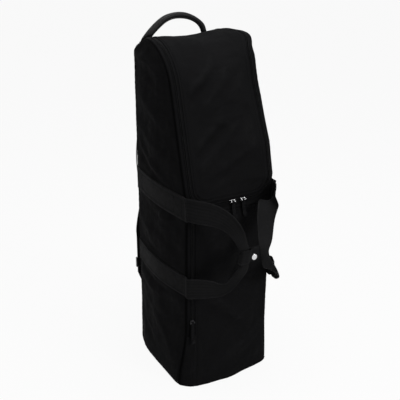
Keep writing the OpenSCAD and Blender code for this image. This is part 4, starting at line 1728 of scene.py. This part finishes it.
def band(name: str, stations: Array) -> Piece:
    """Sweeps a flat band with corded edges, which fills out to a rounded grip where it is thick.

    Args:
        name: The piece's name.
        stations: As band_frames takes them, close together.

    Returns:
        The band.
    """
    a, flat, wear = band_section()
    oval = np.sign(flat) * (1 - np.abs(a) ** 2.6).clip(0.02) ** 0.5
    share = smoothstep((stations[:, 7] - ROUNDED_FROM + 1.2) / 2.4)[:, None]
    b = flat[None] * (1 - share) + oval[None] * share
    wide, thick = stations[:, 6:7] / 2, stations[:, 7:8] / 2
    return tube(name, sections(*band_frames(stations), wide * a[None], thick * b), wear)


def band_rows(stations: Array, inset: float, lift: float, faces: tuple[int, ...] = (-1, 1)) -> list[Array]:
    """Places for stitches along both edges of a band's faces.

    Args:
        stations: Rows as band_frames takes them.
        inset: How far the rows lie from the edges.
        lift: Their height above the face.
        faces: 1 for the upper face, -1 for the lower one.

    Returns:
        Places for repeat, one array for each row.
    """
    middle, across, up = band_frames(stations)
    places = []
    for face in faces:
        for edge in (-1, 1):
            out = np.maximum(stations[:, 6:7] / 2 - inset, 1.5)
            path = middle + edge * out * across + face * (stations[:, 7:8] / 2 * 0.92 + lift) * up
            places.append(frames_along(path, face * up, 4.6))
    return places


@dataclass
class SideHandles:
    """The two webbing loops: sewn along the sides, free in front, and held together by a snap wrap."""

    shell: Shell
    bench: Bench
    axis: Pair = (127.5, -153.3)
    reach: float = 104.0
    middle: float = 408.0
    half: float = 106.0
    width: float = 54.0
    upper_extra: float = 7.0
    lower_extra: float = 2.0
    grip_y: float = -250.2
    grip_thick: float = 7.0
    stitch_out: float = 21.5

    def _loop(self, fx: float, fy: float, fz: float, side: Triple, width: float, thick: float = 2.5) -> list[float]:
        """A station at shares of the loop's half width, reach and half height."""
        return [fx * self.axis[0], self.axis[1] - fy * self.reach, self.middle + fz * self.half, *side, width, thick]

    def _grip(self, x: float, dy: float, dz: float, side: Triple, width: float) -> list[float]:
        """A station of the gathered grip."""
        return [x, self.grip_y - dy, self.middle + dz, *side, width, self.grip_thick]

    def _stations(self, side: Side) -> Array:
        """The stations of one side's loop.

        Args:
            side: Which side.

        Returns:
            Rows as band_frames takes them.
        """
        loop, grip = self._loop, self._grip
        if side is Side.LEFT:
            rows = [
                loop(-1.003, -0.085, 1.01, (0, 0, 1), 60, 0.6), loop(-1.017, -0.035, 1.015, (0, 0, 1), 61, 1.8),
                loop(-1.01, 0.021, 1.03, (0, 0, 1), 59), loop(-0.985, 0.09, 1.04, (0, 0, 1), 60),
                loop(-0.87, 0.24, 1.02, (0, 0, 1), 61), loop(-0.7, 0.38, 0.98, (0, 0, 1), 59),
                loop(-0.54, 0.5, 0.9, (0.05, 0, 1), 53), loop(-0.39, 0.64, 0.77, (0.15, -0.05, 1), 46),
                loop(-0.27, 0.78, 0.56, (0.42, -0.15, 0.9), 36, 3.4), grip(-25, -3, 30, (0.85, -0.15, 0.5), 26),
                grip(-19.5, 0, 18, (1, 0, 0), 20), grip(-19.5, 0, -20, (1, 0, 0), 20),
                grip(-22, -4, -36, (0.85, -0.1, -0.5), 25), loop(-0.23, 0.73, -0.62, (0.72, -0.25, -0.7), 24, 4),
                loop(-0.32, 0.57, -0.9, (0.5, -0.3, -0.85), 25, 3), loop(-0.46, 0.43, -1.01, (0.1, -0.1, -1), 37),
                loop(-0.62, 0.32, -1.0, (0, 0, -1), 49), loop(-0.78, 0.22, -0.99, (0, 0, -1), 55),
                loop(-0.92, 0.12, -0.99, (0, 0, -1), 56), loop(-0.99, 0.06, -1, (0, 0, -1), 56),
                loop(-1.012, 0.02, -1, (0, 0, -1), 56), loop(-1.017, -0.035, -1, (0, 0, -1), 56, 1.8),
                loop(-1.003, -0.085, -1, (0, 0, -1), 55, 0.6),
            ]
        else:
            rows = [
                loop(1.003, -0.085, 1.0, (0, 0, 1), 56, 0.6), loop(1.017, -0.035, 1.0, (0, 0, 1), 57, 1.8),
                loop(1.01, 0.021, 1.0, (0, 0, 1), 55), loop(0.975, 0.09, 1.0, (0.1, 0, 1), 54),
                loop(0.87, 0.18, 0.97, (0.5, -0.1, 0.87), 54), loop(0.75, 0.24, 0.88, (0.88, -0.15, 0.45), 53),
                loop(0.66, 0.33, 0.74, (1, -0.1, 0), 53), loop(0.56, 0.46, 0.53, (0.98, 0, -0.18), 52),
                loop(0.44, 0.67, 0.29, (0.98, 0, -0.2), 44, 3.4), grip(40, -5, 12, (1, 0, -0.15), 31),
                grip(38, 2, -8, (1, 0, 0), 23), grip(46, 1, -34, (0.95, -0.2, -0.2), 26),
                loop(0.52, 0.87, -0.57, (0.8, -0.4, -0.5), 34, 4), loop(0.74, 0.62, -0.77, (0.4, -0.3, -0.8), 42),
                loop(0.92, 0.3, -0.95, (0.1, 0, -1), 48), loop(0.985, 0.1, -0.995, (0, 0, -1), 53),
                loop(1.012, 0.02, -1, (0, 0, -1), 55), loop(1.017, -0.035, -1, (0, 0, -1), 56, 1.8),
                loop(1.003, -0.085, -1, (0, 0, -1), 55, 0.6),
            ]
        return curve_through(np.array(rows), 9)

    def sewn_band(self, side: Side, height: float, word: str) -> Piece:
        """Makes the run of a band that is sewn along a side panel, up to the fold that its handle turns on.

        Args:
            side: Which side.
            height: The height of its middle.
            word: The piece's name.

        Returns:
            The band.
        """
        y = np.concatenate([np.linspace(125, 119, 4), np.linspace(116, -149.5, 110)])
        across, high, wear = band_section()
        across = across * self._wide(word) / 2
        lift = np.where(high > 0, 2.2 + 1.3 * high, -0.4)
        ends = np.clip((127.5 - y) / 2.6, 0.15, 1)[:, None]
        z = height + across[None] * (1 + 0 * y[:, None])
        seat = np.clip((130 + y) / 20, 0, 1)[:, None]
        low = np.where(lift[None] < 0, lift[None] * seat + 0.25 * (1 - seat), lift[None] * ends)
        rings = self.shell.side(side, np.broadcast_to(y[:, None], z.shape), z, low, rounded=False)
        return tube(word, rings, wear)

    def _wide(self, word: str) -> float:
        """The width of a sewn band by its name."""
        return self.width + (self.upper_extra if "upper" in word else self.lower_extra)

    def _band_stitches(self, side: Side) -> Piece:
        """Sews both bands of a side down: edge rows and crossed boxes at their ends.

        Args:
            side: Which side.

        Returns:
            The stitches.
        """
        places, out = [], self.stitch_out

        def on(y: Array, z: Array) -> None:
            """Adds a run of stitches through places on the side.

            Args:
                y: Depths.
                z: Heights.
            """
            path = self.shell.side(side, y, z, 3.6, rounded=False)
            over = self.shell.side(side, y, z, 4.6, rounded=False)
            places.append(frames_along(path, over - path, 4.6))

        for height in self.shell.band_heights:
            run = np.linspace(119, -132, 120)
            for edge in (-1, 1):
                on(run, np.full(120, height + edge * out))
            for start, end in ((118.0, 82.0), (-96.0, -132.0)):
                for y0, z0, y1 in ((start, -out, end), (start, out, end), (start, -out, start), (end, -out, end)):
                    t = np.linspace(0, 1, 30)
                    on(y0 + (y1 - y0) * t, height + z0 - 2 * z0 * t)
        return repeat(f"{side.word}_band_stitches", stitch_seed(), np.concatenate(places))

    def build(self) -> None:
        """Makes and fits the bands, the handles and their stitches."""
        for side in Side:
            for word, height in zip(("upper", "lower"), self.shell.band_heights):
                piece = self.sewn_band(side, height, f"{side.word}_{word}_webbing")
                self.bench.fit(piece, "bag", Slot.WEBBING, (f"{side.word}_{word}_band",))
            self.bench.fit(self._band_stitches(side), "bag", Slot.ZIP_CLOTH)
            stations = self._stations(side)
            body = f"{side.word}_side_handle"
            loop = self.bench.fit(band(f"{body}_band", stations), body, Slot.WEBBING, (body,))
            thick = np.flatnonzero(stations[:, 7] > 3.2)
            rows = band_rows(stations[: thick[0]], 5.2, 0.15) + band_rows(stations[thick[-1] + 1 :], 5.2, 0.15)
            self.bench.fit(repeat(f"{body}_stitches", stitch_seed(), np.concatenate(rows)), body, Slot.ZIP_CLOTH)


@dataclass
class SnapWrap:
    """The wrap that holds the side handles together, with its snap."""

    bench: Bench
    middle: float = 408.0
    height: float = 36.0
    across: Triple = (0.2, 0.0, 0.98)
    run_plan: tuple[Pair, ...] = ((-32.0, -244.9), (-15.0, -244.9), (5.0, -244.9), (24.8, -244.9))
    flap_plan: tuple[Pair, ...] = (
        (-32.6, -244.3), (-32.8, -249.5), (-32.4, -253.6), (-30.6, -256.0), (-27.0, -256.4), (-20.0, -256.4),
        (-12.4, -256.2), (-7.5, -254.0), (-3.2, -250.9), (2.0, -249.8), (9.0, -249.7), (15.5, -249.7), (21.6, -249.7),
    )
    snap: Pair = (7.0, 401.0)
    cap_y: float = -250.6
    cap_rings: tuple[Pair, ...] = (
        (7.5, -0.9), (7.35, -1.35), (6.9, -1.6), (6.3, -1.5), (5.9, -1.35), (5.2, -1.55), (3.4, -1.85), (1.6, -1.98),
        (0.5, -2.0),
    )

    def _strip(self, name: str, plan: tuple[Pair, ...], steps: int, tip: bool) -> Piece:
        """Sweeps a strip of webbing through points of its plan.

        Args:
            name: The piece's name.
            plan: Places x, y of its middle line.
            steps: Points between two of them.
            tip: True if the strip's far end is rounded.

        Returns:
            The strip.
        """
        path = curve_through(np.array(plan), steps)
        n, s = len(path), lengths(path)
        left = s[-1] - s
        width = np.full(n, self.height)
        if tip:
            width = self.height - 9 * (1 - np.sqrt(np.clip(1 - ((9 - left).clip(0) / 9) ** 2, 0, 1)))
        return band(name, flat_stations(self._level(path), self.across, width, 1.55))

    def _level(self, path: Array) -> Array:
        """Points through places x and y at the wrap's height."""
        return np.column_stack([path, np.full(len(path), self.middle)])

    def build(self) -> None:
        """Makes and fits the wrap's run, its flap, their stitches and the snap."""
        run = self._strip("wrap_run", self.run_plan, 8, False)
        self.bench.fit(run, "right_side_handle", Slot.WEBBING, ("wrap_base",))
        flap = self._strip("wrap_flap_band", self.flap_plan, 5, True)
        self.bench.fit(flap, "wrap_flap", Slot.WEBBING, ("wrap_flap",))
        path = curve_through(np.array(self.flap_plan[4:]), 5)
        stations = flat_stations(self._level(path), self.across, 33.0, 1.6)
        rows = band_rows(stations[:-8], 3.0, 0.2)
        self.bench.fit(
            repeat("wrap_flap_stitches", stitch_seed(2.4, 0.3), np.concatenate(rows)), "wrap_flap", Slot.ZIP_CLOTH,
        )
        self._cap()
        self.bench.dress_node("snap_stud", Slot.METAL)

    def _cap(self) -> None:
        """Turns the snap's cap: a domed disc with a rolled rim and a shallow ring, and its socket behind."""
        x, z = self.snap
        rim, low = self.cap_rings[0]
        cap = primitive("circle", vertices=48, radius=rim, fill_type="NGON", rotation=(math.pi / 2, 0, 0))
        cap.name = cap.data.name = "snap_cap_dome"
        apply_placing()
        last = rim
        with all_in_edit_mode():
            for radius, _ in self.cap_rings:
                bpy.ops.mesh.inset(thickness=max(last - radius, 0.001))
                last = radius
        points = points_of(cap)
        away = np.hypot(points[:, 0], points[:, 2])
        points[:, 1] = read_off(away, self.cap_rings[::-1])
        outer = away > rim - 0.01
        points[outer, 1] = np.where(np.arange(len(points)) < 48, 0.0, low)[outer]
        set_points(cap, (points + np.array([x, self.cap_y, z])) * MM)
        set_wear_and_seam_shade(cap, 0.5 * (away > 6))
        smooth_shade(cap, 50)
        self.bench.fit(cap, "wrap_flap", Slot.METAL)
        self.bench.dress_node("snap_cap", Slot.METAL)


@dataclass
class TopHandle:
    """The padded arch at the back of the crown, with its two sewn tabs."""

    shell: Shell
    bench: Bench
    axis_y: float = 144.5
    axis_z: float = 860.0
    radius: float = 95.457
    rise: float = 70.0
    turn: float = 72.6
    foot_x: float = 92.0
    foot_width: float = 26.0
    tab_profile: tuple[Pair, ...] = (
        (138.3, 820.3), (138.4, 826), (138.3, 838), (138.4, 848), (138.9, 853.0), (140.8, 855.6), (143.3, 856.9),
        (144.3, 858.6),
    )
    box: Triple = (9.5, 823.5, 850.0)
    patch_face: float = 139.55

    def build(self) -> None:
        """Makes and fits the grip, its piping and its tabs."""
        grip, piping = self._grip()
        self.bench.fit(grip, "top_handle", Slot.LEATHER, ("top_handle_grip",))
        self.bench.fit(piping, "top_handle", Slot.LEATHER)
        tabs = self.bench.fit(self._tabs(), "bag", Slot.LEATHER, ("top_handle_feet",))
        self.bench.fit(self._tab_stitches(), "bag", Slot.ZIP_CLOTH)

    def _grip(self) -> tuple[Piece, Piece]:
        """Sweeps the arch, which flattens into a tab at each end, and the piping along its under seam.

        Returns:
            The grip and its piping.
        """
        centre = self.axis_z + self.rise - self.radius
        angle = np.radians(np.linspace(-self.turn, self.turn, 150))
        ahead = np.radians(self.turn) - np.abs(angle)
        tab = 1 - smoothstep((ahead * self.radius - 9) / 20)
        high = (7.0 + 2.6 * tab + 0.25 * np.sin(angle * 9) * (1 - tab)) * (1.08 - 0.24 * np.sin(angle))
        thick = (7.0 - 5.6 * tab) * (1.15 - 0.45 * np.sin(angle) * (1 - tab))
        out = np.stack([np.sin(angle), 0 * angle, np.cos(angle)], 1)
        middle = np.array([0, self.axis_y, centre]) + self.radius * out
        turn = turns(30)
        depth = np.tile([0, 1.0, 0], (len(angle), 1))
        round_in, round_out = squared(np.cos(turn), 0.86), squared(np.sin(turn), 0.86)
        rings = self._lean(
            sections(middle, out, depth, high[:, None] * round_in[None], thick[:, None] * round_out[None])
        )
        rings[..., 2] = np.maximum(rings[..., 2], self.axis_z + 3.0)
        pinch = 0.12 * np.exp(-((turn - np.pi) ** 2) / 0.12)
        wear = 0.28 + 0.4 * pinch[None] + 0.3 * (1 - tab[:, None]) * np.clip(np.cos(turn), 0, 1)[None] ** 3
        grip = tube("top_handle_padding", rings, wear)
        keep = slice(7, -7)
        seam = middle[keep] - out[keep] * (high[keep, None] + 0.35) + np.array([0, -1.0, 0])
        return grip, round_cord("top_handle_piping", self._lean(seam), 1.35, 8)

    @staticmethod
    def _lean(points: Array) -> Array:
        """Lets the arch lean a little to the right, as it stands.

        Args:
            points: Points of the arch as the CAD part has it.

        Returns:
            The moved points.
        """
        moved = points.copy()
        rise = smoothstep((points[..., 2] - 862) / 45)
        x = points[..., 0]
        moved[..., 0] += rise * (8 + 4 * np.clip(x / 95, -1, 1) + 5 * bell((x + 62) / 26))
        moved[..., 2] += rise * 3.5
        return moved

    def _tabs(self) -> Piece:
        """Makes the two tabs: a patch on the back that folds out to the roll on which the handle turns.

        Returns:
            Both tabs as one piece.
        """
        path = curve_through(np.array(self.tab_profile), 5)
        parts = []
        for sign in (-1, 1):
            stations = flat_stations(at_one_x(sign * self.foot_x, path), (1.0, 0.0, 0.0), self.foot_width, 2.2)
            parts.append(band("tab_patch", stations))
            x = np.linspace(-self.foot_width / 2 + 0.4, self.foot_width / 2 - 0.4, 16) + sign * self.foot_x
            roll = np.stack([x, np.full(16, self.axis_y), np.full(16, self.axis_z)], 1)
            parts.append(round_cord("tab_roll", roll, 2.35, 14))
        return join("top_handle_tabs", parts)

    def _tab_stitches(self) -> Piece:
        """Sews each patch down with a box and a cross.

        Returns:
            The stitches.
        """
        a, low, high = self.box
        box = ((-a, low, a, low), (-a, high, a, high), (-a, low, -a, high), (a, low, a, high))
        runs = (*box, (-a, low, a, high), (-a, high, a, low))
        places = []
        for sign in (-1, 1):
            for x0, z0, x1, z1 in runs:
                t = np.linspace(0, 1, 12)[:, None]
                path = np.array([sign * self.foot_x + x0, self.patch_face, z0]) + t * np.array([x1 - x0, 0, z1 - z0])
                places.append(frames_along(path, np.tile([0, 1.0, 0], (12, 1)), 3.6))
        return repeat("top_handle_tab_stitches", stitch_seed(2.5, 0.36), np.concatenate(places))


@dataclass
class ShoulderStraps:
    """The two padded straps on the back, with their patches, webbing and adjusters."""

    shell: Shell
    bench: Bench
    top: Triple = (46.0, 143.5, 766.0)
    low: Triple = (108.0, 147.0, 182.0)
    back_y: float = 137.0
    patch_profile: tuple[Pair, ...] = (
        (138.4, 804.6), (138.4, 796), (138.4, 784), (138.7, 776.5), (140.4, 772.6), (143.2, 771.0), (145.0, 770.6),
    )
    reach: float = 48.0
    web: float = 25.0
    adjuster_z: float = 235.0
    pad_end: float = 0.531
    end_out: float = 0.74
    bend: float = 0.627
    web_out: float = 29.0
    binding_from: int = 12
    voxel: float = 0.0042
    pressure: float = 4.0
    last_frame: int = 14
    most_swell: float = 0.003

    def _station(self, side: Side, x: float, dy: float, z: float, width: float, thick: float) -> list[float]:
        """A station dy behind the back panel."""
        return [side.value * x, self.back_y + dy, z, float(side.value), 0, 0, width, thick]

    def _x(self, share: float) -> float:
        """The strap's x a share of the way down."""
        return self.top[0] + (self.low[0] - self.top[0]) * share

    def _z(self, share: float) -> float:
        """The strap's height a share of the way down."""
        return self.top[2] + (self.low[2] - self.top[2]) * share

    def _pad_stations(self, side: Side, shrink: float) -> Array:
        """The stations of a pad, drawn in by shrink at its widest for the filling to swell.

        Args:
            side: Which side.
            shrink: How much narrower the pad is.

        Returns:
            Rows as band_frames takes them.
        """
        def at(share: float, dx: float, out: float, width: float, thick: float) -> list[float]:
            """A station a share of the way down the strap."""
            return self._station(side, self._x(share) + dx, out * self.reach, self._z(share), width - shrink, thick)

        rows = [
            self._station(side, 46.0, 6.5, 768.0, 23, 3), self._station(side, 46.3, 8.0, 756.0, 27, 4),
            at(0.053, 0, 0.4, 35.6, 7.9), at(0.13, 4, 0.77, 50.2, 12), at(0.25, 8, 1, 54, 12),
            at(0.37, 8, 0.98, 54, 12), at(0.473, 4, 0.84, 47.5, 10), at(self.pad_end, 2, self.end_out, 31, 6),
        ]
        return curve_through(np.array(rows), 9)

    def _swell(self, pad: Piece) -> None:
        """Blows a pad up as its foam fills its cloth: voxels, cloth under pressure, then one subdivision.

        Args:
            pad: The pad's plain shape, which is changed.
        """
        modify(pad, "REMESH", mode="VOXEL", voxel_size=self.voxel)
        start = points_of(pad)
        cloth = pad.modifiers.new("Cloth", "CLOTH")
        cloth.settings.use_pressure = True
        cloth.settings.uniform_pressure_force = self.pressure
        cloth.settings.quality = 5
        cloth.settings.effector_weights.gravity = 0.0
        cloth.point_cache.frame_start, cloth.point_cache.frame_end = 1, self.last_frame + 2
        scene = bpy.context.scene
        for step in range(1, self.last_frame + 1):
            scene.frame_set(step)
        pick(pad)
        bpy.ops.object.modifier_apply(modifier=cloth.name)
        scene.frame_set(1)
        moved = points_of(pad) - start
        size = np.linalg.norm(moved, axis=1, keepdims=True)
        set_points(pad, start + moved * np.minimum(1, self.most_swell / np.maximum(size, 1e-9)))
        modify(pad, "SUBSURF", levels=1, render_levels=1)

    def _pad(self, side: Side) -> Piece:
        """Makes one padded strap, with sewn channels across it.

        Args:
            side: Which side.

        Returns:
            The pad.
        """
        stations = self._pad_stations(side, 3.0)
        middle, across, up = band_frames(stations)
        turn = turns(28)
        wide = stations[:, 6:7] / 2 * squared(np.cos(turn), 0.55)
        thick = stations[:, 7:8] / 2 * 0.86 * squared(np.sin(turn), 0.8)
        pad = tube(f"{side.word}_pad", sections(middle, across, up, wide, thick))
        self._swell(pad)
        points = points_of(pad) / MM
        near = np.empty(len(points), int)
        for i in range(0, len(points), CHUNK):
            part = slice(i, i + CHUNK)
            near[part] = ((points[part, None] - middle[None]) ** 2).sum(2).argmin(1)
        offset = points - middle[near]
        wide_at = (offset * across[near]).sum(1) / np.maximum(stations[near, 6] / 2, 1)
        height = (offset * up[near]).sum(1)
        groove = bell((np.abs(wide_at) - 0.46) / 0.06) * smoothstep((stations[near, 7] - 8) / 3)
        points -= up[near] * (np.sign(height) * groove * np.minimum(1.5, np.abs(height) * 0.4))[:, None]
        set_points(pad, points * MM)
        set_wear_and_seam_shade(pad, 0.2 + 0.5 * np.clip(np.abs(wide_at) - 0.8, 0, 0.3))
        set_uv(pad, points[:, [0, 2]] * MM)
        smooth_shade(pad, 60)
        return pad

    def _binding(self, side: Side) -> Piece:
        """Runs a binding round the pad's edge.

        Args:
            side: Which side.

        Returns:
            The binding.
        """
        stations = self._pad_stations(side, 0.4)[self.binding_from :]
        middle, across, _ = band_frames(stations)
        half = stations[:, 6:7] / 2 + 0.3
        path = np.vstack([middle + across * half, (middle - across * half)[::-1]])
        return round_cord(f"{side.word}_pad_binding", path, 1.5, 8)

    def _pad_webbing(self, side: Side) -> Array:
        """The stations of the webbing down the pad's outer face.

        Args:
            side: Which side.

        Returns:
            Rows as band_frames takes them.
        """
        stations = self._pad_stations(side, 0).copy()
        _, _, up = band_frames(stations)
        sign = np.sign(up[:, 1:2])
        stations[:, :3] += up * sign * (stations[:, 7:8] / 2 + 0.9)
        stations[:, 6] = np.minimum(self.web, stations[:, 6] - 1)
        stations[:, 7] = 1.6
        return stations[self.binding_from : -4]

    def _webbing(self, side: Side) -> Array:
        """The stations of the webbing from the pad through the adjuster to the lower anchor.

        Args:
            side: Which side.

        Returns:
            Rows as band_frames takes them.
        """
        x, web, thick, out, low = self.low[0], self.web, 1.8, self.web_out, self.low[2]
        start, end, end_y = self._x(self.pad_end), self._z(self.pad_end), self.end_out * self.reach
        rows = [
            (start + 2, end_y, end - 0.8, web), (start + 3, end_y - 2.2, end - 16, web),
            ((self._x(self.bend) + x) / 2, 31.0, self._z(self.bend), web),
            (x, out, self.adjuster_z + 110, web), (x, out, self.adjuster_z + 75, web),
            (x, out, self.adjuster_z - 23, web), (x, out, self.adjuster_z - 31, web),
            (x, 20.0, low + 12, web - 2), (x, 11.0, low + 4, web - 4), (x, 10.0, low - 1.9, web - 4),
        ]
        stations = np.array([self._station(side, a, b, c, w, thick) for a, b, c, w in rows])
        return curve_through(stations, 7)

    def _anchors(self) -> tuple[Piece, Piece]:
        """Makes the patches that the pads hang from, and the wedges that the webbing comes out of.

        Returns:
            The patches and the wedges.
        """
        tops, lows = [], []
        path = curve_through(np.array(self.patch_profile), 5)
        for sign in (-1, 1):
            width = 32 - 6 * smoothstep((777 - path[:, 1]) / 5)
            stations = flat_stations(at_one_x(sign * self.top[0], path), (1.0, 0.0, 0.0), width, 2.3)
            tops.append(band("patch", stations))
            wedge = primitive("cube", size=1.0)
            corners = points_of(wedge)
            high = corners[:, 2] > 0
            rear = corners[:, 1] > 0
            corners[:, 0] = corners[:, 0] * 21 + sign * self.low[0]
            corners[:, 2] = np.where(high, np.where(rear, 179.0, 174.0), np.where(rear, 167.5, 119.0))
            corners[:, 1] = np.where(rear, 147.8, 137.4)
            set_points(wedge, corners * MM)
            modify(wedge, "BEVEL", width=0.0014, segments=3)
            modify(wedge, "SUBSURF", levels=1, render_levels=1)
            set_wear_and_seam_shade(wedge, np.full(len(wedge.data.vertices), 0.2))
            set_uv(wedge, points_of(wedge)[:, [0, 2]])
            smooth_shade(wedge)
            lows.append(wedge)
        return join("strap_top_patches", tops), join("strap_low_wedges", lows)

    def build(self) -> None:
        """Makes and fits both straps."""
        tops, lows = self._anchors()
        hung = self.bench.fit(tops, "bag", Slot.WEBBING, ("strap_top_anchors",))
        self.bench.fit(lows, "bag", Slot.SHELL, ("strap_low_anchors",))
        for side in Side:
            body = f"{side.word}_strap"
            pad = self._pad(side)
            self.bench.fit(pad, body, Slot.SHELL, (f"{side.word}_strap_pad",))
            self.bench.fit(self._binding(side), body, Slot.ZIP_CLOTH)
            over, run = self._pad_webbing(side), self._webbing(side)
            laid = self.bench.fit(band(f"{side.word}_pad_webbing", over), body, Slot.WEBBING)
            hung = self.bench.fit(
                band(f"{side.word}_strap_web", run), body, Slot.WEBBING, (f"{side.word}_strap_webbing",),
            )
            self.bench.dress_node(f"{side.word}_strap_adjuster", Slot.PLASTIC)


# ---- studio ----


@dataclass(frozen=True)
class Lamp:
    """A square soft lamp: where it is and what it points at, its side in metres, and its power in watts."""

    name: str
    place: Triple
    target: Triple
    size: float
    watts: float

    def hang(self) -> None:
        """Makes the lamp and points it."""
        data = bpy.data.lights.new(self.name, "AREA")
        data.shape, data.size, data.energy = "SQUARE", self.size, self.watts
        lamp = bpy.data.objects.new(self.name, data)
        bpy.context.scene.collection.objects.link(lamp)
        aim(lamp, self.place, self.target)


def aim(thing: Piece, place: Triple, target: Triple) -> None:
    """Puts a lamp or a camera at a place and points it at a target."""
    thing.location = place
    thing.rotation_euler = (Vector(target) - thing.location).to_track_quat("-Z", "Y").to_euler()


LAMPS = (
    Lamp("overhead_lamp", (0.05, -0.12, 2.5), (0.0, 0.05, 0.5), 1.2, 25.0),
    Lamp("left_lamp", (-2.4, -0.3, 1.6), (0.0, 0.0, 0.5), 1.0, 0.6),
    Lamp("front_lamp", (1.2, -2.6, 1.7), (0.0, 0.0, 0.4), 0.9, 25.0),
)


@dataclass
class Studio:
    """The floor, the lamps, the white surroundings and the camera."""

    camera_place: Triple = (-0.906, -1.606, 1.213)
    camera_target: Triple = (-0.005, 0.0, 0.465)
    lens: float = 66.6
    floor_size: float = 60.0
    floor_glow: float = 0.93
    light: float = 0.22
    seen: float = 0.98

    def build(self) -> None:
        """Sets up everything that isn't the bag."""
        scene = bpy.context.scene
        scene.view_settings.view_transform = "Standard"
        self._floor()
        self._surroundings()
        for lamp in LAMPS:
            lamp.hang()
        data = bpy.data.cameras.new("camera")
        data.sensor_width, data.lens = 36.0, self.lens
        data.clip_start, data.clip_end = 0.05, 60.0
        camera = bpy.data.objects.new("camera", data)
        scene.collection.objects.link(camera)
        aim(camera, self.camera_place, self.camera_target)
        scene.camera = camera

    @staticmethod
    def _seen_directly(shader: Shader) -> Socket:
        """1 for what the camera, a reflection or glass sees, and 0 for light that falls on a surface.

        Args:
            shader: Adds the nodes.

        Returns:
            The output socket.
        """
        path = shader.add("LightPath")
        seen = shader.math("MAXIMUM", path.outputs["Is Camera Ray"], path.outputs["Is Glossy Ray"])
        return shader.math("MAXIMUM", seen, path.outputs["Is Transmission Ray"])

    def _floor(self) -> None:
        """Lays a wide white floor that keeps a faint shadow."""
        floor = primitive("plane", size=self.floor_size)
        floor.name = "floor"
        made = bpy.data.materials.new("floor_white")
        made.use_nodes = True
        shader = Shader(made.node_tree)
        surface = made.node_tree.nodes["Principled BSDF"]
        surface.inputs["Base Color"].default_value = (0.9, 0.9, 0.9, 1)
        surface.inputs["Roughness"].default_value = 0.9
        surface.inputs["Specular IOR Level"].default_value = 0.0
        glow = shader.add("Emission", inputs={"Color": (1, 1, 1, 1), "Strength": 1.0})
        share = shader.math("MULTIPLY", self._seen_directly(shader), self.floor_glow)
        mixed = shader.add("MixShader", inputs={0: share, 1: surface.outputs[0], 2: glow.outputs[0]})
        made.node_tree.links.new(mixed.outputs[0], made.node_tree.nodes["Material Output"].inputs["Surface"])
        floor.data.materials.append(made)

    def _surroundings(self) -> None:
        """Makes the surroundings white to look at, and a plain level of light on the bag."""
        world = bpy.data.worlds.new("surroundings")
        bpy.context.scene.world = world
        world.use_nodes = True
        shader = Shader(world.node_tree)
        back = world.node_tree.nodes["Background"]
        strength = shader.spread(self._seen_directly(shader), (0.0, 1.0), (self.light, self.seen))
        back.inputs["Color"].default_value = (1, 1, 1, 1)
        world.node_tree.links.new(strength, back.inputs["Strength"])


def main() -> None:
    """Builds the bag in order."""
    logging.basicConfig(level=logging.INFO, format="%(name)s: %(message)s")
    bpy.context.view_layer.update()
    shell, bench = Shell(), Bench()
    seams = Seams(shell)
    body = BodyCloth(shell, seams, bench)
    Studio().build()
    body.build()
    PocketAssembly(shell, seams, bench, body).build()
    LidAssembly(shell, seams, bench, body).build()
    SideHandles(shell, bench).build()
    SnapWrap(bench).build()
    TopHandle(shell, bench).build()
    ShoulderStraps(shell, bench).build()


if __name__ == "__main__":
    main()
